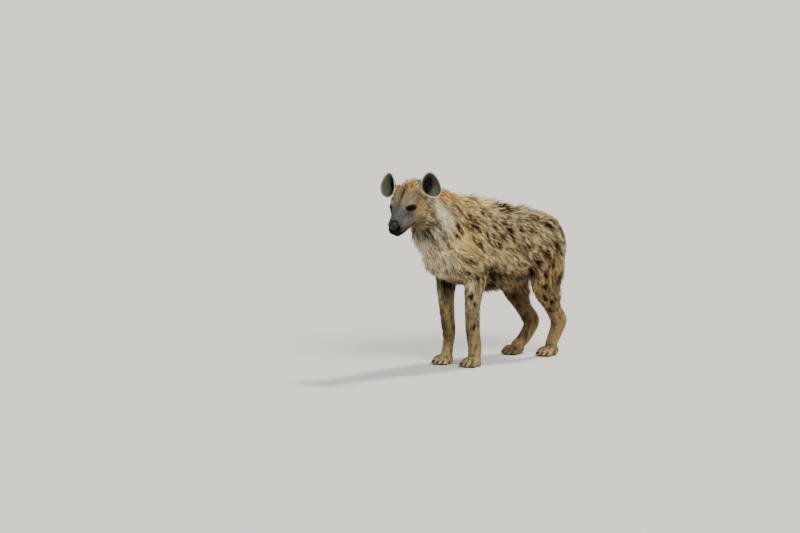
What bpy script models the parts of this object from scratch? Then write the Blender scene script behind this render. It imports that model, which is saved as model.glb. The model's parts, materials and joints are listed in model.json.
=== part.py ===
"""A standing spotted hyena at life size, parted into the pieces that a person would name.

Metres, +Z up. The animal faces +X and its left side is +Y. The floor is z = 0. Flesh is modelled as lofts
along the bones, blended into one surface, and parted with thin cuts. Coat that names the animal, such as the
mane, the shaggy flanks and the tail's brush, stands on it as tapered locks.
"""

import math
import random

import bmesh
import bpy
import numpy as np
from mathutils import Matrix, Vector
from mathutils.bvhtree import BVHTree

# Driving sizes
GAP = 0.0003  # between nodes that touch
RING_SIDES = 24
BODY_VOXEL = 0.008
HEAD_VOXEL = 0.0036
PAW_VOXEL = 0.0040

# The head stands in its own frame: +X along the muzzle, +Y to its left, +Z up, the origin at the level of the
# mouth under the eyes.
HEAD_YAW = math.radians(12)
HEAD_PITCH = math.radians(25)
EYE_MIDDLE = Vector((0.742, 0.030, 0.832))
EYE_LEVEL = 0.082
EYE_APART = 0.104
EYE_RADIUS = 0.0125
EYE_FORWARD = 0.002
MUZZLE_END = 0.118
LID_THICKNESS = 0.0030
EAR_HALF_WIDTH = 0.050
EAR_HALF_HEIGHT = 0.062
EAR_DEPTH = 0.032
EAR_WALL = 0.0045
EAR_LEAN = 0.012
LEFT_EAR_RAISE = Vector((-0.010, 0.010, 0.012))

# Toes from the inner to the outer: place across, reach forward and spread
TOES = ((-0.0290, 0.036, -0.006), (-0.0105, 0.050, -0.002), (0.0105, 0.050, 0.002), (0.0290, 0.036, 0.006))

# Coat locks: length, width, and height of the tip above the flesh
MANE_LOCK = (0.105, 0.044, 0.034)
FLANK_LOCK = (0.160, 0.072, 0.023)
NECK_LOCK = (0.132, 0.062, 0.021)
CROWN_LOCK = (0.060, 0.030, 0.030)
BRUSH_LOCK = (0.125, 0.034, 0.010)
# Along a lock: its share of the length and of the width, and the heights of its edges and its ridge in lifts
LOCK_PROFILE = (
    (0.00, 0.60, -0.40, -0.20),
    (0.32, 1.00, -0.07, 0.25),
    (0.70, 0.66, 0.55, 0.80),
)
LOCK_TWIST = math.radians(13)
TORSO_TIERS = 12
MANE_TIERS = 12
BRUSH_AROUND = 5
CROWN_ROOTS = (
    (-0.083, 0.003),
    (-0.104, 0.020),
    (-0.110, -0.015),
    (-0.134, -0.004),
    (-0.127, 0.034),
    (-0.132, -0.030),
)

# Detail of the flesh, in triangles
BODY_TRIANGLES = 2300
HEAD_TRIANGLES = 1500
PAW_TRIANGLES = 430
REGION_SIZE = 3.0

# Each row of a loft is the ring's centre x, y, z, its half width across, its reach up (or to the front of a
# leg) and its reach down (or to the back).
TRUNK = (
    (-0.428, 0.0, 0.600, 0.030, 0.022, 0.040),
    (-0.405, 0.0, 0.590, 0.066, 0.058, 0.075),
    (-0.370, 0.0, 0.585, 0.092, 0.098, 0.105),
    (-0.300, 0.0, 0.585, 0.108, 0.132, 0.135),
    (-0.200, 0.0, 0.575, 0.120, 0.158, 0.155),
    (-0.100, 0.0, 0.565, 0.134, 0.180, 0.175),
    (0.000, 0.0, 0.560, 0.142, 0.197, 0.185),
    (0.100, 0.0, 0.565, 0.140, 0.211, 0.185),
    (0.200, 0.0, 0.580, 0.130, 0.222, 0.183),
    (0.280, 0.0, 0.590, 0.121, 0.220, 0.182),
    (0.350, 0.0, 0.590, 0.114, 0.190, 0.168),
    (0.420, 0.0, 0.582, 0.094, 0.140, 0.130),
    (0.462, 0.0, 0.575, 0.056, 0.080, 0.074),
)
NECK = (
    (0.190, 0.000, 0.640, 0.100, 0.140, 0.140),
    (0.290, 0.000, 0.670, 0.112, 0.165, 0.165),
    (0.380, 0.002, 0.712, 0.106, 0.150, 0.172),
    (0.460, 0.006, 0.758, 0.096, 0.130, 0.152),
    (0.540, 0.012, 0.803, 0.087, 0.108, 0.126),
    (0.610, 0.018, 0.838, 0.078, 0.088, 0.102),
    (0.670, 0.024, 0.855, 0.060, 0.060, 0.070),
)
# Rows for the left legs, and the right legs' own steps
FORELEG = (
    (0.300, 0.070, 0.640, 0.038, 0.075, 0.085),
    (0.290, 0.082, 0.560, 0.047, 0.078, 0.085),
    (0.274, 0.092, 0.485, 0.047, 0.076, 0.073),
    (0.270, 0.096, 0.425, 0.043, 0.063, 0.057),
    (0.282, 0.095, 0.360, 0.039, 0.047, 0.042),
    (0.286, 0.091, 0.280, 0.034, 0.038, 0.037),
    (0.282, 0.088, 0.200, 0.034, 0.038, 0.038),
    (0.275, 0.086, 0.150, 0.032, 0.034, 0.037),
    (0.265, 0.086, 0.090, 0.032, 0.032, 0.035),
    (0.268, 0.087, 0.045, 0.033, 0.030, 0.030),
)
FORELEG_RIGHT = (
    (0.300, -0.070, 0.640, 0.038, 0.075, 0.085),
    (0.290, -0.082, 0.560, 0.047, 0.078, 0.085),
    (0.272, -0.092, 0.485, 0.047, 0.076, 0.075),
    (0.267, -0.096, 0.425, 0.043, 0.062, 0.060),
    (0.275, -0.095, 0.360, 0.038, 0.047, 0.045),
    (0.274, -0.091, 0.280, 0.034, 0.037, 0.037),
    (0.268, -0.088, 0.200, 0.033, 0.035, 0.036),
    (0.263, -0.086, 0.150, 0.029, 0.031, 0.033),
    (0.270, -0.085, 0.095, 0.027, 0.026, 0.027),
    (0.283, -0.085, 0.045, 0.030, 0.027, 0.026),
)
HINDLEG = (
    (-0.270, 0.058, 0.640, 0.045, 0.090, 0.105),
    (-0.272, 0.080, 0.560, 0.055, 0.115, 0.118),
    (-0.262, 0.092, 0.480, 0.056, 0.112, 0.112),
    (-0.248, 0.100, 0.405, 0.051, 0.096, 0.096),
    (-0.244, 0.104, 0.345, 0.045, 0.074, 0.082),
    (-0.285, 0.100, 0.275, 0.038, 0.049, 0.054),
    (-0.332, 0.093, 0.218, 0.031, 0.047, 0.037),
    (-0.368, 0.088, 0.172, 0.031, 0.058, 0.040),
    (-0.356, 0.085, 0.125, 0.029, 0.046, 0.030),
    (-0.325, 0.084, 0.075, 0.030, 0.035, 0.027),
    (-0.306, 0.084, 0.042, 0.031, 0.028, 0.026),
)
HIND_STEP = (0.006, 0.012, 0.012, 0.008, 0.000, 0.002, 0.006, 0.006, 0.016, 0.036, 0.070)
HIND_DROP = (0.0, 0.0, 0.0, 0.0, 0.005, 0.010, 0.014, 0.016, 0.014, 0.010, 0.004)
TAIL = (
    (-0.395, 0.000, 0.625, 0.034, 0.036, 0.034),
    (-0.430, -0.002, 0.608, 0.028, 0.030, 0.028),
    (-0.456, -0.008, 0.570, 0.022, 0.022, 0.022),
    (-0.464, -0.017, 0.515, 0.019, 0.019, 0.019),
    (-0.463, -0.026, 0.455, 0.020, 0.020, 0.020),
    (-0.459, -0.034, 0.400, 0.018, 0.018, 0.018),
    (-0.455, -0.040, 0.350, 0.011, 0.011, 0.011),
)
# Head rings: forward place, level of the widest part, half width, crown above it, throat below it, fullness
HEAD = (
    (-0.175, 0.050, 0.062, 0.072, 0.075, 2.0),
    (-0.145, 0.050, 0.080, 0.096, 0.096, 2.1),
    (-0.110, 0.046, 0.090, 0.104, 0.098, 2.1),
    (-0.075, 0.040, 0.095, 0.104, 0.090, 2.1),
    (-0.040, 0.036, 0.090, 0.098, 0.080, 2.2),
    (-0.010, 0.034, 0.076, 0.087, 0.074, 2.2),
    (0.015, 0.030, 0.058, 0.073, 0.067, 2.3),
    (0.040, 0.024, 0.046, 0.061, 0.058, 2.5),
    (0.065, 0.020, 0.041, 0.053, 0.051, 2.6),
    (0.090, 0.018, 0.038, 0.049, 0.044, 2.6),
    (0.108, 0.020, 0.034, 0.042, 0.032, 2.5),
    (0.118, 0.026, 0.024, 0.028, 0.020, 2.2),
)
# The line of the closed mouth from its corner to the front: forward place and level
MOUTH = ((0.000, -0.012), (0.022, -0.005), (0.045, -0.002), (0.070, -0.004), (0.092, -0.003), (0.108, 0.000))

COLOURS = {
    "coat": (0.50, 0.38, 0.22),
    "pale": (0.62, 0.53, 0.36),
    "mane": (0.52, 0.33, 0.14),
    "legs": (0.42, 0.33, 0.22),
    "face": (0.36, 0.29, 0.20),
    "dark": (0.05, 0.045, 0.04),
    "ear": (0.20, 0.17, 0.13),
    "eye": (0.02, 0.014, 0.01),
    "claw": (0.09, 0.075, 0.06),
}


def clear_scene():
    for obj in list(bpy.data.objects):
        bpy.data.objects.remove(obj, do_unlink=True)


def collection(name):
    made = bpy.data.collections.new(name)
    bpy.context.scene.collection.children.link(made)
    return made


def material(name, roughness=0.85):
    found = bpy.data.materials.get(name)
    if found:
        return found
    made = bpy.data.materials.new(name)
    made.use_nodes = True
    shader = made.node_tree.nodes["Principled BSDF"]
    shader.inputs["Base Color"].default_value = (*COLOURS[name], 1.0)
    shader.inputs["Roughness"].default_value = roughness
    shader.inputs["Metallic"].default_value = 0.0
    return made


def mesh_object(name, mesh, place):
    obj = bpy.data.objects.new(name, mesh)
    place.objects.link(obj)
    return obj


def head_matrix():
    """From the head's own frame to the animal's."""
    turn = Matrix.Rotation(HEAD_YAW, 4, "Z") @ Matrix.Rotation(HEAD_PITCH, 4, "Y")
    up = turn @ Vector((0, 0, 1))
    return Matrix.Translation(EYE_MIDDLE - up * EYE_LEVEL) @ turn


# Smooth shapes


def smooth_rows(rows, steps):
    """Rows between the given ones, on a Catmull-Rom curve through them."""
    rows = np.array(rows, float)
    padded = np.vstack([2 * rows[0] - rows[1], rows, 2 * rows[-1] - rows[-2]])
    made = []
    for i in range(len(rows) - 1):
        a, b, c, d = padded[i : i + 4]
        for s in range(steps):
            t = s / steps
            bend = (2 * a - 5 * b + 4 * c - d) * t**2 + (3 * b - a - 3 * c + d) * t**3
            made.append(0.5 * (2 * b + (c - a) * t + bend))
    made.append(rows[-1])
    return np.array(made)


def rings_of(rows, steps=3, fullness=2.15):
    """Points of each ring of a loft. A ring stands square to the path, with its side towards +Y."""
    rows = smooth_rows(rows, steps)
    centres = rows[:, :3]
    along = np.gradient(centres, axis=0)
    rings = []
    for row, centre, t in zip(rows, centres, along):
        t = Vector(t).normalized()
        side = (Vector((0, 1, 0)) - t * t.y).normalized()
        up = t.cross(side)
        power = 2 / (row[6] if len(row) > 6 else fullness)
        ring = []
        for k in range(RING_SIDES):
            angle = 2 * math.pi * k / RING_SIDES
            c, s = math.cos(angle), math.sin(angle)
            across = math.copysign(abs(c) ** power, c) * row[3]
            height = math.copysign(abs(s) ** power, s) * (row[4] if s > 0 else row[5])
            ring.append(Vector(centre) + side * across + up * height)
        rings.append(ring)
    return rings


def loft(rings, tip=None):
    """A closed mesh through the rings, with a flat end or a pointed tip."""
    count = len(rings[0])
    points = [tuple(p) for ring in rings for p in ring]
    faces = [tuple(reversed(range(count)))]
    for i in range(len(rings) - 1):
        for k in range(count):
            j = (k + 1) % count
            faces.append((i * count + k, i * count + j, (i + 1) * count + j, (i + 1) * count + k))
    last = (len(rings) - 1) * count
    if tip is None:
        faces.append(tuple(range(last, last + count)))
    else:
        points.append(tuple(tip))
        faces += [(last + k, last + (k + 1) % count, last + count) for k in range(count)]
    mesh = bpy.data.meshes.new("loft")
    mesh.from_pydata(points, [], faces)
    return mesh


def outward(mesh):
    """The same closed mesh with its faces turned out and in triangles."""
    bm = bmesh.new()
    bm.from_mesh(mesh)
    bmesh.ops.triangulate(bm, faces=bm.faces)
    bmesh.ops.recalc_face_normals(bm, faces=bm.faces)
    bm.to_mesh(mesh)
    bm.free()
    return mesh


def ellipsoid(centre, radii, turn=None, sides=20):
    """A sphere scaled along its own axes, turned, and put in its place."""
    bm = bmesh.new()
    bmesh.ops.create_uvsphere(bm, u_segments=sides, v_segments=sides // 2, radius=1.0)
    place = Matrix.Translation(Vector(centre)) @ (turn or Matrix()) @ Matrix.Diagonal((*radii, 1.0))
    bmesh.ops.transform(bm, matrix=place, verts=bm.verts)
    mesh = bpy.data.meshes.new("ellipsoid")
    bm.to_mesh(mesh)
    bm.free()
    return mesh


def spindle(points, radii, sides=10):
    """A round rod of changing radius along points."""
    rows = [(*p, r, r, r) for p, r in zip(points, radii)]
    centres = np.array(points, float)
    along = np.gradient(centres, axis=0)
    rings = []
    for row, t in zip(rows, along):
        t = Vector(t).normalized()
        helper = Vector((0, 0, 1)) if abs(t.z) < 0.9 else Vector((1, 0, 0))
        side = helper.cross(t).normalized()
        up = t.cross(side)
        turn = [2 * math.pi * k / sides for k in range(sides)]
        rings.append([Vector(row[:3]) + (side * math.cos(a) + up * math.sin(a)) * row[3] for a in turn])
    return loft(rings)


def moved(mesh, matrix):
    mesh.transform(matrix)
    return mesh


def mirrored(rows, step=None, drop=None):
    """The same rows on the right side, each stepped forward and down."""
    step = step or [0.0] * len(rows)
    drop = drop or [0.0] * len(rows)
    return [(r[0] + s, -r[1], r[2] - d, *r[3:]) for r, s, d in zip(rows, step, drop)]


# Joining and cutting


def joined(meshes):
    bm = bmesh.new()
    for mesh in meshes:
        bm.from_mesh(mesh)
    made = bpy.data.meshes.new("joined")
    bm.to_mesh(made)
    bm.free()
    return made


def evaluated(obj):
    """A copy of the object's mesh with its modifiers applied, and the object removed."""
    graph = bpy.context.evaluated_depsgraph_get()
    made = bpy.data.meshes.new_from_object(obj.evaluated_get(graph))
    bpy.data.objects.remove(obj, do_unlink=True)
    return made


def blend(meshes, voxel, passes, triangles):
    """One smooth closed skin round overlapping shapes, brought down to about this many triangles."""
    obj = mesh_object("blend", joined(meshes), bpy.context.scene.collection)
    remesh = obj.modifiers.new("skin", "REMESH")
    remesh.mode = "VOXEL"
    remesh.voxel_size = voxel
    relax = obj.modifiers.new("relax", "SMOOTH")
    relax.factor = 0.5
    relax.iterations = passes
    skin = evaluated(obj)
    obj = mesh_object("blend", skin, bpy.context.scene.collection)
    collapse = obj.modifiers.new("collapse", "DECIMATE")
    collapse.ratio = min(1.0, triangles / (2 * len(skin.polygons)))
    return largest(evaluated(obj))


def face_groups(bm):
    """The faces of each separate surface. Surfaces that only touch count as separate."""
    seen = set()
    groups = []
    for start in bm.faces:
        if start in seen:
            continue
        seen.add(start)
        group = []
        queue = [start]
        while queue:
            face = queue.pop()
            group.append(face)
            for edge in face.edges:
                if len(edge.link_faces) != 2:
                    continue
                for other in edge.link_faces:
                    if other not in seen:
                        seen.add(other)
                        queue.append(other)
        groups.append(group)
    return groups


def largest(mesh):
    """The mesh in triangles, with only its largest closed surface."""
    bm = bmesh.new()
    bm.from_mesh(mesh)
    bmesh.ops.triangulate(bm, faces=bm.faces)
    groups = face_groups(bm)
    sizes = [np.ptp([v.co for face in group for v in face.verts], axis=0).prod() for group in groups]
    keep = set(groups[int(np.argmax(sizes))])
    bmesh.ops.delete(bm, geom=[face for face in bm.faces if face not in keep], context="FACES")
    made = bpy.data.meshes.new("largest")
    bm.to_mesh(made)
    bm.free()
    return made


def combine(mesh, others, operation):
    """One Boolean of a mesh with a collection of others, applied, and its largest surface kept."""
    helpers = collection("helpers")
    for i, other in enumerate(others):
        mesh_object(f"helper_{i}", outward(other), helpers)
    obj = mesh_object("boolean", mesh, bpy.context.scene.collection)
    modifier = obj.modifiers.new("boolean", "BOOLEAN")
    modifier.operation = operation
    modifier.operand_type = "COLLECTION"
    modifier.collection = helpers
    modifier.solver = "EXACT"
    made = evaluated(obj)
    for helper in list(helpers.objects):
        bpy.data.objects.remove(helper, do_unlink=True)
    bpy.data.collections.remove(helpers)
    return largest(made)


def region(planes, grow=0.0):
    """The convex solid behind all these planes, each a point and a normal that points out of it."""
    bm = bmesh.new()
    bmesh.ops.create_cube(bm, size=REGION_SIZE)
    for point, normal in planes:
        normal = Vector(normal).normalized()
        everything = bm.verts[:] + bm.edges[:] + bm.faces[:]
        bmesh.ops.bisect_plane(
            bm, geom=everything, plane_co=Vector(point) + normal * grow, plane_no=normal, clear_outer=True
        )
        rim = [edge for edge in bm.edges if edge.is_boundary]
        bmesh.ops.contextual_create(bm, geom=rim)
    bmesh.ops.recalc_face_normals(bm, faces=bm.faces)
    mesh = bpy.data.meshes.new("region")
    bm.to_mesh(mesh)
    bm.free()
    return mesh


def other_side(plane):
    point, normal = plane
    return (Vector(point), -Vector(normal))


def mirror_plane(plane, shift=0.0, drop=0.0):
    point, normal = plane
    moved_point = Vector((point[0] + shift, -point[1], point[2] - drop))
    return (moved_point, Vector((normal[0], -normal[1], normal[2])))


# The planes that part the flesh. Each normal points away from the middle of the trunk, except the last
# three, which point down the leg.
NECK_CUT = (Vector((0.345, 0.0, 0.72)), Vector((0.87, 0.0, 0.49)))
HEAD_CUT = (Vector((0.598, 0.017, 0.83)), Vector((0.95, 0.15, 0.22)))
TAIL_CUT = (Vector((-0.434, 0.0, 0.600)), Vector((-0.80, 0.0, -0.60)))
ARM_CUT = (Vector((0.27, 0.094, 0.455)), Vector((0.0, 0.78, -0.62)))
THIGH_CUT = (Vector((-0.25, 0.088, 0.500)), Vector((0.0, 0.72, -0.69)))
WRIST_CUT = (Vector((0.284, 0.088, 0.175)), Vector((0.0, 0.0, -1.0)))
KNEE_CUT = (Vector((-0.258, 0.102, 0.318)), Vector((-0.45, 0.0, -0.89)))
HOCK_CUT = (Vector((-0.366, 0.087, 0.150)), Vector((0.35, 0.0, -0.94)))
# How far the right hind leg's knee and hock are stepped forward and down
KNEE_STEP = 0.024
HOCK_STEP = 0.016


def box_planes(low_x, high_x, inner_y, outer_y, low_z=-0.1):
    """The sides and the floor of an upright box."""
    return [
        (Vector((low_x, 0, 0)), Vector((-1, 0, 0))),
        (Vector((high_x, 0, 0)), Vector((1, 0, 0))),
        (Vector((0, inner_y, 0)), Vector((0, -1, 0))),
        (Vector((0, outer_y, 0)), Vector((0, 1, 0))),
        (Vector((0, 0, low_z)), Vector((0, 0, -1))),
    ]


def limb_regions(side):
    """The convex space of each length of one side's legs, as planes."""
    left = {
        "forearm": [other_side(ARM_CUT), WRIST_CUT, *box_planes(0.185, 0.375, 0.012, 0.3)],
        "thigh": [other_side(THIGH_CUT), KNEE_CUT, *box_planes(-0.425, -0.143, 0.012, 0.3)],
        "shank": [other_side(KNEE_CUT), HOCK_CUT, *box_planes(-0.5, -0.1, 0.012, 0.3)],
        "fore": [other_side(WRIST_CUT), *box_planes(0.1, 0.5, 0.0, 0.3, 0.0)],
        "hind": [other_side(HOCK_CUT), *box_planes(-0.5, -0.1, 0.0, 0.3, 0.0)],
    }
    if side > 0:
        return left
    right = {name: [mirror_plane(plane) for plane in planes] for name, planes in left.items()}
    right["thigh"] = [mirror_plane(plane, KNEE_STEP) for plane in left["thigh"]]
    right["shank"][0] = mirror_plane(other_side(KNEE_CUT), KNEE_STEP)
    right["shank"][1] = mirror_plane(HOCK_CUT, HOCK_STEP, HOCK_STEP)
    right["hind"][0] = mirror_plane(other_side(HOCK_CUT), HOCK_STEP, HOCK_STEP)
    return right


def tail_region():
    return [other_side(TAIL_CUT), *box_planes(-0.6, -0.428, -0.11, 0.06, 0.2)]


# Flesh


def shoulder_muscles(side):
    tilt = Matrix.Rotation(math.radians(-14), 4, "Y")
    return [
        ellipsoid((0.265, 0.082 * side, 0.635), (0.085, 0.056, 0.150), tilt),
        ellipsoid((0.350, 0.068 * side, 0.535), (0.076, 0.060, 0.095)),
        ellipsoid((0.225, 0.090 * side, 0.520), (0.060, 0.050, 0.085)),
    ]


def haunch_muscles(side):
    return [
        ellipsoid((-0.275, 0.078 * side, 0.600), (0.105, 0.056, 0.105)),
        ellipsoid((-0.340, 0.066 * side, 0.545), (0.072, 0.060, 0.120)),
    ]


def hock_point(rows):
    """The heel bone behind the hock, with its tendon running up to the calf."""
    hock, calf = rows[7], rows[5]
    points = [
        (calf[0] - 0.038, calf[1], calf[2] + 0.040),
        (calf[0] - 0.060, calf[1], calf[2] - 0.026),
        (hock[0] - 0.022, hock[1], hock[2] + 0.032),
        (hock[0] - 0.036, hock[1], hock[2] + 0.004),
        (hock[0] - 0.020, hock[1], hock[2] - 0.028),
    ]
    return spindle(points, (0.014, 0.012, 0.0125, 0.0150, 0.012))


def leg_rows(side):
    if side > 0:
        return FORELEG, HINDLEG
    return FORELEG_RIGHT, mirrored(HINDLEG, HIND_STEP, HIND_DROP)


def body_flesh():
    """Trunk, neck, limbs and tail as one skin."""
    pieces = [loft(rings_of(TRUNK)), loft(rings_of(NECK)), loft(rings_of(TAIL, fullness=2.0))]
    for side in (1, -1):
        fore, hind = leg_rows(side)
        pieces += [loft(rings_of(fore)), loft(rings_of(hind)), hock_point(hind)]
        pieces += shoulder_muscles(side) + haunch_muscles(side)
    return blend(pieces, BODY_VOXEL, 9, BODY_TRIANGLES)


def toe(x, y, reach, spread):
    """One toe: knuckle, middle and the rounded end with its pad."""
    knuckle = (x + 0.008, y, 0.034)
    middle = (x + 0.008 + reach * 0.62, y + spread * 0.6, 0.0275)
    end = (x + 0.008 + reach, y + spread, 0.0150)
    return [
        spindle((knuckle, middle, end), (0.0165, 0.0165, 0.0145)),
        ellipsoid((end[0] - 0.003, end[1], 0.0115), (0.0185, 0.0135, 0.0140), sides=12),
    ]


def paw_flesh(x, y, rows, lean):
    """A paw with four toes, and the leg above it. Toes and pad reach a little below the floor's level."""
    pieces = [loft(rings_of(rows))]
    pieces.append(ellipsoid((x + lean, y, 0.028), (0.042, 0.037, 0.030)))
    pieces.append(ellipsoid((x - 0.004, y, 0.010), (0.040, 0.036, 0.015)))
    for across, reach, spread in TOES:
        pieces += toe(x, y + across, reach, spread)
    return blend(pieces, PAW_VOXEL, 3, PAW_TRIANGLES)


def claw(x, y, reach, spread, grow=0.0):
    """A blunt claw that curves down from the end of its toe. A grown one cuts its socket."""
    start = Vector((x + 0.008 + reach + 0.005 - grow, y + spread, 0.0195))
    points = [
        start,
        start + Vector((0.0110 + grow, 0.0, -0.0018)),
        start + Vector((0.0165 + grow, 0.0, -0.0060)),
        start + Vector((0.0190 + grow, 0.0, -0.0115)),
    ]
    return spindle(points, (0.0042 + grow, 0.0046 + grow, 0.0036 + grow, 0.0014 + grow), sides=5)


# Head


def mouth_side(x, level):
    """Half width of the head at a level, from its rings."""
    rows = smooth_rows(HEAD, 4)
    row = [np.interp(x, rows[:, 0], rows[:, i]) for i in range(6)]
    rise = row[3] if level > row[1] else row[4]
    share = min(1.0, abs(level - row[1]) / rise)
    return row[2] * (1 - share ** row[5]) ** (1 / row[5])


def lip_line(offset, inset):
    """Points round the muzzle along the mouth, shifted up by offset and in by inset, in the head's frame."""
    line = smooth_rows(MOUTH, 3)
    left = [(x, max(0.010, mouth_side(x, z + offset) - inset), z + offset) for x, z in line]
    tip = (MUZZLE_END - 0.004 - inset, 0.0, line[-1][1] + offset)
    return left + [tip] + [(x, -y, z) for x, y, z in reversed(left)]


def lip_rod(offset, inset, radius, sides):
    points = lip_line(offset, inset)
    return spindle(points, [radius] * len(points), sides)


def ear_frame(side):
    """The ear's own frame: +Z along the ear, +X out of its open face, +Y across it."""
    long = Vector((-0.40, 0.10 * side, 0.91)).normalized()
    face = Vector((0.90, 0.28 * side, 0.36))
    face = (face - long * face.dot(long)).normalized()
    across = long.cross(face)
    turn = Matrix((face, across, long)).transposed().to_4x4()
    middle = Vector((-0.0945, 0.112, 0.1407))
    if side > 0:
        middle += LEFT_EAR_RAISE
    return Matrix.Translation((middle.x, middle.y * side, middle.z)) @ turn


def ear_rings(side, shrink=0.0):
    """Rings of the cup from its rim to its floor. The tip leans in and the outer edge is fuller below."""
    sides = 18
    rings = []
    for share in (1.0, 0.86, 0.58, 0.24):
        ring = []
        for k in range(sides):
            angle = 2 * math.pi * k / sides
            out, up = math.cos(angle), math.sin(angle)
            width = (EAR_HALF_WIDTH - shrink) * share * (1 - 0.16 * up)
            lean = EAR_LEAN * share * (0.5 - up)
            back = -EAR_DEPTH * (1 - share**2.2) - 0.010 * share * max(0.0, up) ** 2
            ring.append(Vector((back, side * (width * out + lean), (EAR_HALF_HEIGHT - shrink) * share * up)))
        rings.append(ring)
    return rings


def ear_shell(side):
    """A thin rounded cup, open to the front."""
    rings = ear_rings(side)
    count = len(rings[0])
    bm = bmesh.new()
    verts = [[bm.verts.new(p) for p in ring] for ring in rings]
    for near, far in zip(verts, verts[1:]):
        for k in range(count):
            j = (k + 1) % count
            bm.faces.new((near[k], near[j], far[j], far[k]))
    bm.faces.new(verts[-1])
    bmesh.ops.recalc_face_normals(bm, faces=bm.faces)
    mesh = bpy.data.meshes.new("ear")
    bm.to_mesh(mesh)
    bm.free()
    obj = mesh_object("ear_sheet", mesh, bpy.context.scene.collection)
    wall = obj.modifiers.new("wall", "SOLIDIFY")
    wall.thickness = EAR_WALL
    wall.offset = 0.0
    return moved(evaluated(obj), ear_frame(side))


def ear_hollow(side):
    """The space inside the cup, which the ear's root leaves free."""
    return moved(loft(ear_rings(side, shrink=0.001)), ear_frame(side))


def ear_stalk(side):
    """The muscular root under the cup."""
    end = ear_frame(side) @ Vector((-0.036, -0.012 * side, -0.016))
    points = [(-0.090, 0.040 * side, 0.085), (-0.104, 0.068 * side, 0.108), tuple(end)]
    return spindle(points, (0.034, 0.036, 0.022), sides=12)


def ear_plane(side):
    """Just above the side of the skull, so that it parts the ear from it."""
    normal = Vector((-0.10, 0.76 * side, 0.64)).normalized()
    return (Vector((-0.10, 0.070 * side, 0.128)), normal)


def eye_centre(side):
    return Vector((EYE_FORWARD, side * EYE_APART / 2, EYE_LEVEL))


def eye_turn(side):
    """The eye looks forward and out, and its slit runs a little down to the inner corner."""
    look = Vector((0.70, 0.68 * side, 0.12)).normalized()
    slit = Vector((0.62, -0.60 * side, -0.22))
    slit = (slit - look * slit.dot(look)).normalized()
    return Matrix((look, slit, look.cross(slit))).transposed().to_4x4()


def eyeball(side, grow=0.0):
    return ellipsoid(eye_centre(side), [EYE_RADIUS + grow] * 3, eye_turn(side), sides=12)


def face_muscles(side):
    brow = [(0.020, 0.036 * side, 0.090), (-0.002, 0.050 * side, 0.098), (-0.030, 0.062 * side, 0.096)]
    cheekbone = [(0.010, 0.046 * side, 0.056), (-0.030, 0.076 * side, 0.056), (-0.085, 0.086 * side, 0.062)]
    return [
        ellipsoid((-0.055, 0.060 * side, 0.040), (0.055, 0.034, 0.040)),
        ellipsoid((-0.070, 0.054 * side, -0.005), (0.052, 0.034, 0.048)),
        spindle(cheekbone, (0.012, 0.014, 0.012)),
        spindle(brow, (0.009, 0.011, 0.009)),
        ellipsoid((0.060, 0.025 * side, 0.024), (0.046, 0.019, 0.024)),
        ear_stalk(side),
    ]


def nostril(side):
    return [
        ellipsoid((0.133, 0.0115 * side, 0.045), (0.014, 0.0052, 0.0060), sides=8),
        ellipsoid((0.118, 0.0190 * side, 0.040), (0.010, 0.0050, 0.0030), sides=8),
    ]


def head_flesh():
    """Skull, muzzle, cheeks, brows, lips and ears as one skin in the head's frame, with the neck's end."""
    rows = [(x, 0.0, z, w, up, down, full) for x, z, w, up, down, full in HEAD]
    pieces = [loft(rings_of(rows)), moved(loft(rings_of(NECK)), head_matrix().inverted())]
    for side in (1, -1):
        pieces += face_muscles(side)
    pieces += [
        lip_rod(0.0065, 0.0030, 0.0062, 8),
        lip_rod(-0.0070, 0.0045, 0.0056, 8),
        ellipsoid((0.114, 0.0, 0.045), (0.016, 0.026, 0.019)),
        ellipsoid((0.085, 0.0, -0.014), (0.026, 0.022, 0.016)),
        spindle([(-0.150, 0, 0.128), (-0.100, 0, 0.140), (-0.045, 0, 0.124)], (0.020, 0.022, 0.016)),
    ]
    skin = blend(pieces, HEAD_VOXEL, 6, HEAD_TRIANGLES)
    skin = combine(skin, [eyeball(side, LID_THICKNESS) for side in (1, -1)], "UNION")
    cutters = [lip_rod(-0.0005, 0.0010, 0.0018, 5), ear_hollow(1), ear_hollow(-1)]
    for side in (1, -1):
        opening = eye_centre(side) + eye_turn(side).to_3x3() @ Vector((EYE_RADIUS, 0.0, 0.0))
        cutters.append(ellipsoid(opening, (0.0090, 0.0118, 0.0068), eye_turn(side), sides=12))
        cutters += nostril(side)
    skin = combine(skin, cutters, "DIFFERENCE")
    skin = combine(skin, [eyeball(side, GAP) for side in (1, -1)], "DIFFERENCE")
    return combine(skin, [ear_shell(side) for side in (1, -1)], "UNION")


def nose_planes():
    """The space of the nose pad, in front of the muzzle and above the upper lip."""
    return [(Vector((0.1085, 0, 0)), Vector((-1, 0, 0))), (Vector((0, 0, 0.0235)), Vector((0, 0, -1)))]


# Coat


def surface(mesh):
    bm = bmesh.new()
    bm.from_mesh(mesh)
    tree = BVHTree.FromBMesh(bm)
    bm.free()
    return tree


def nearest_skin(tree, place, reach):
    """The nearest point of a surface, and the mean normal of the surface within reach of it."""
    point = tree.find_nearest(place)[0]
    total = Vector()
    for _, normal, _, _ in tree.find_nearest_range(point, reach):
        total += normal
    return point, total.normalized()


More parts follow.
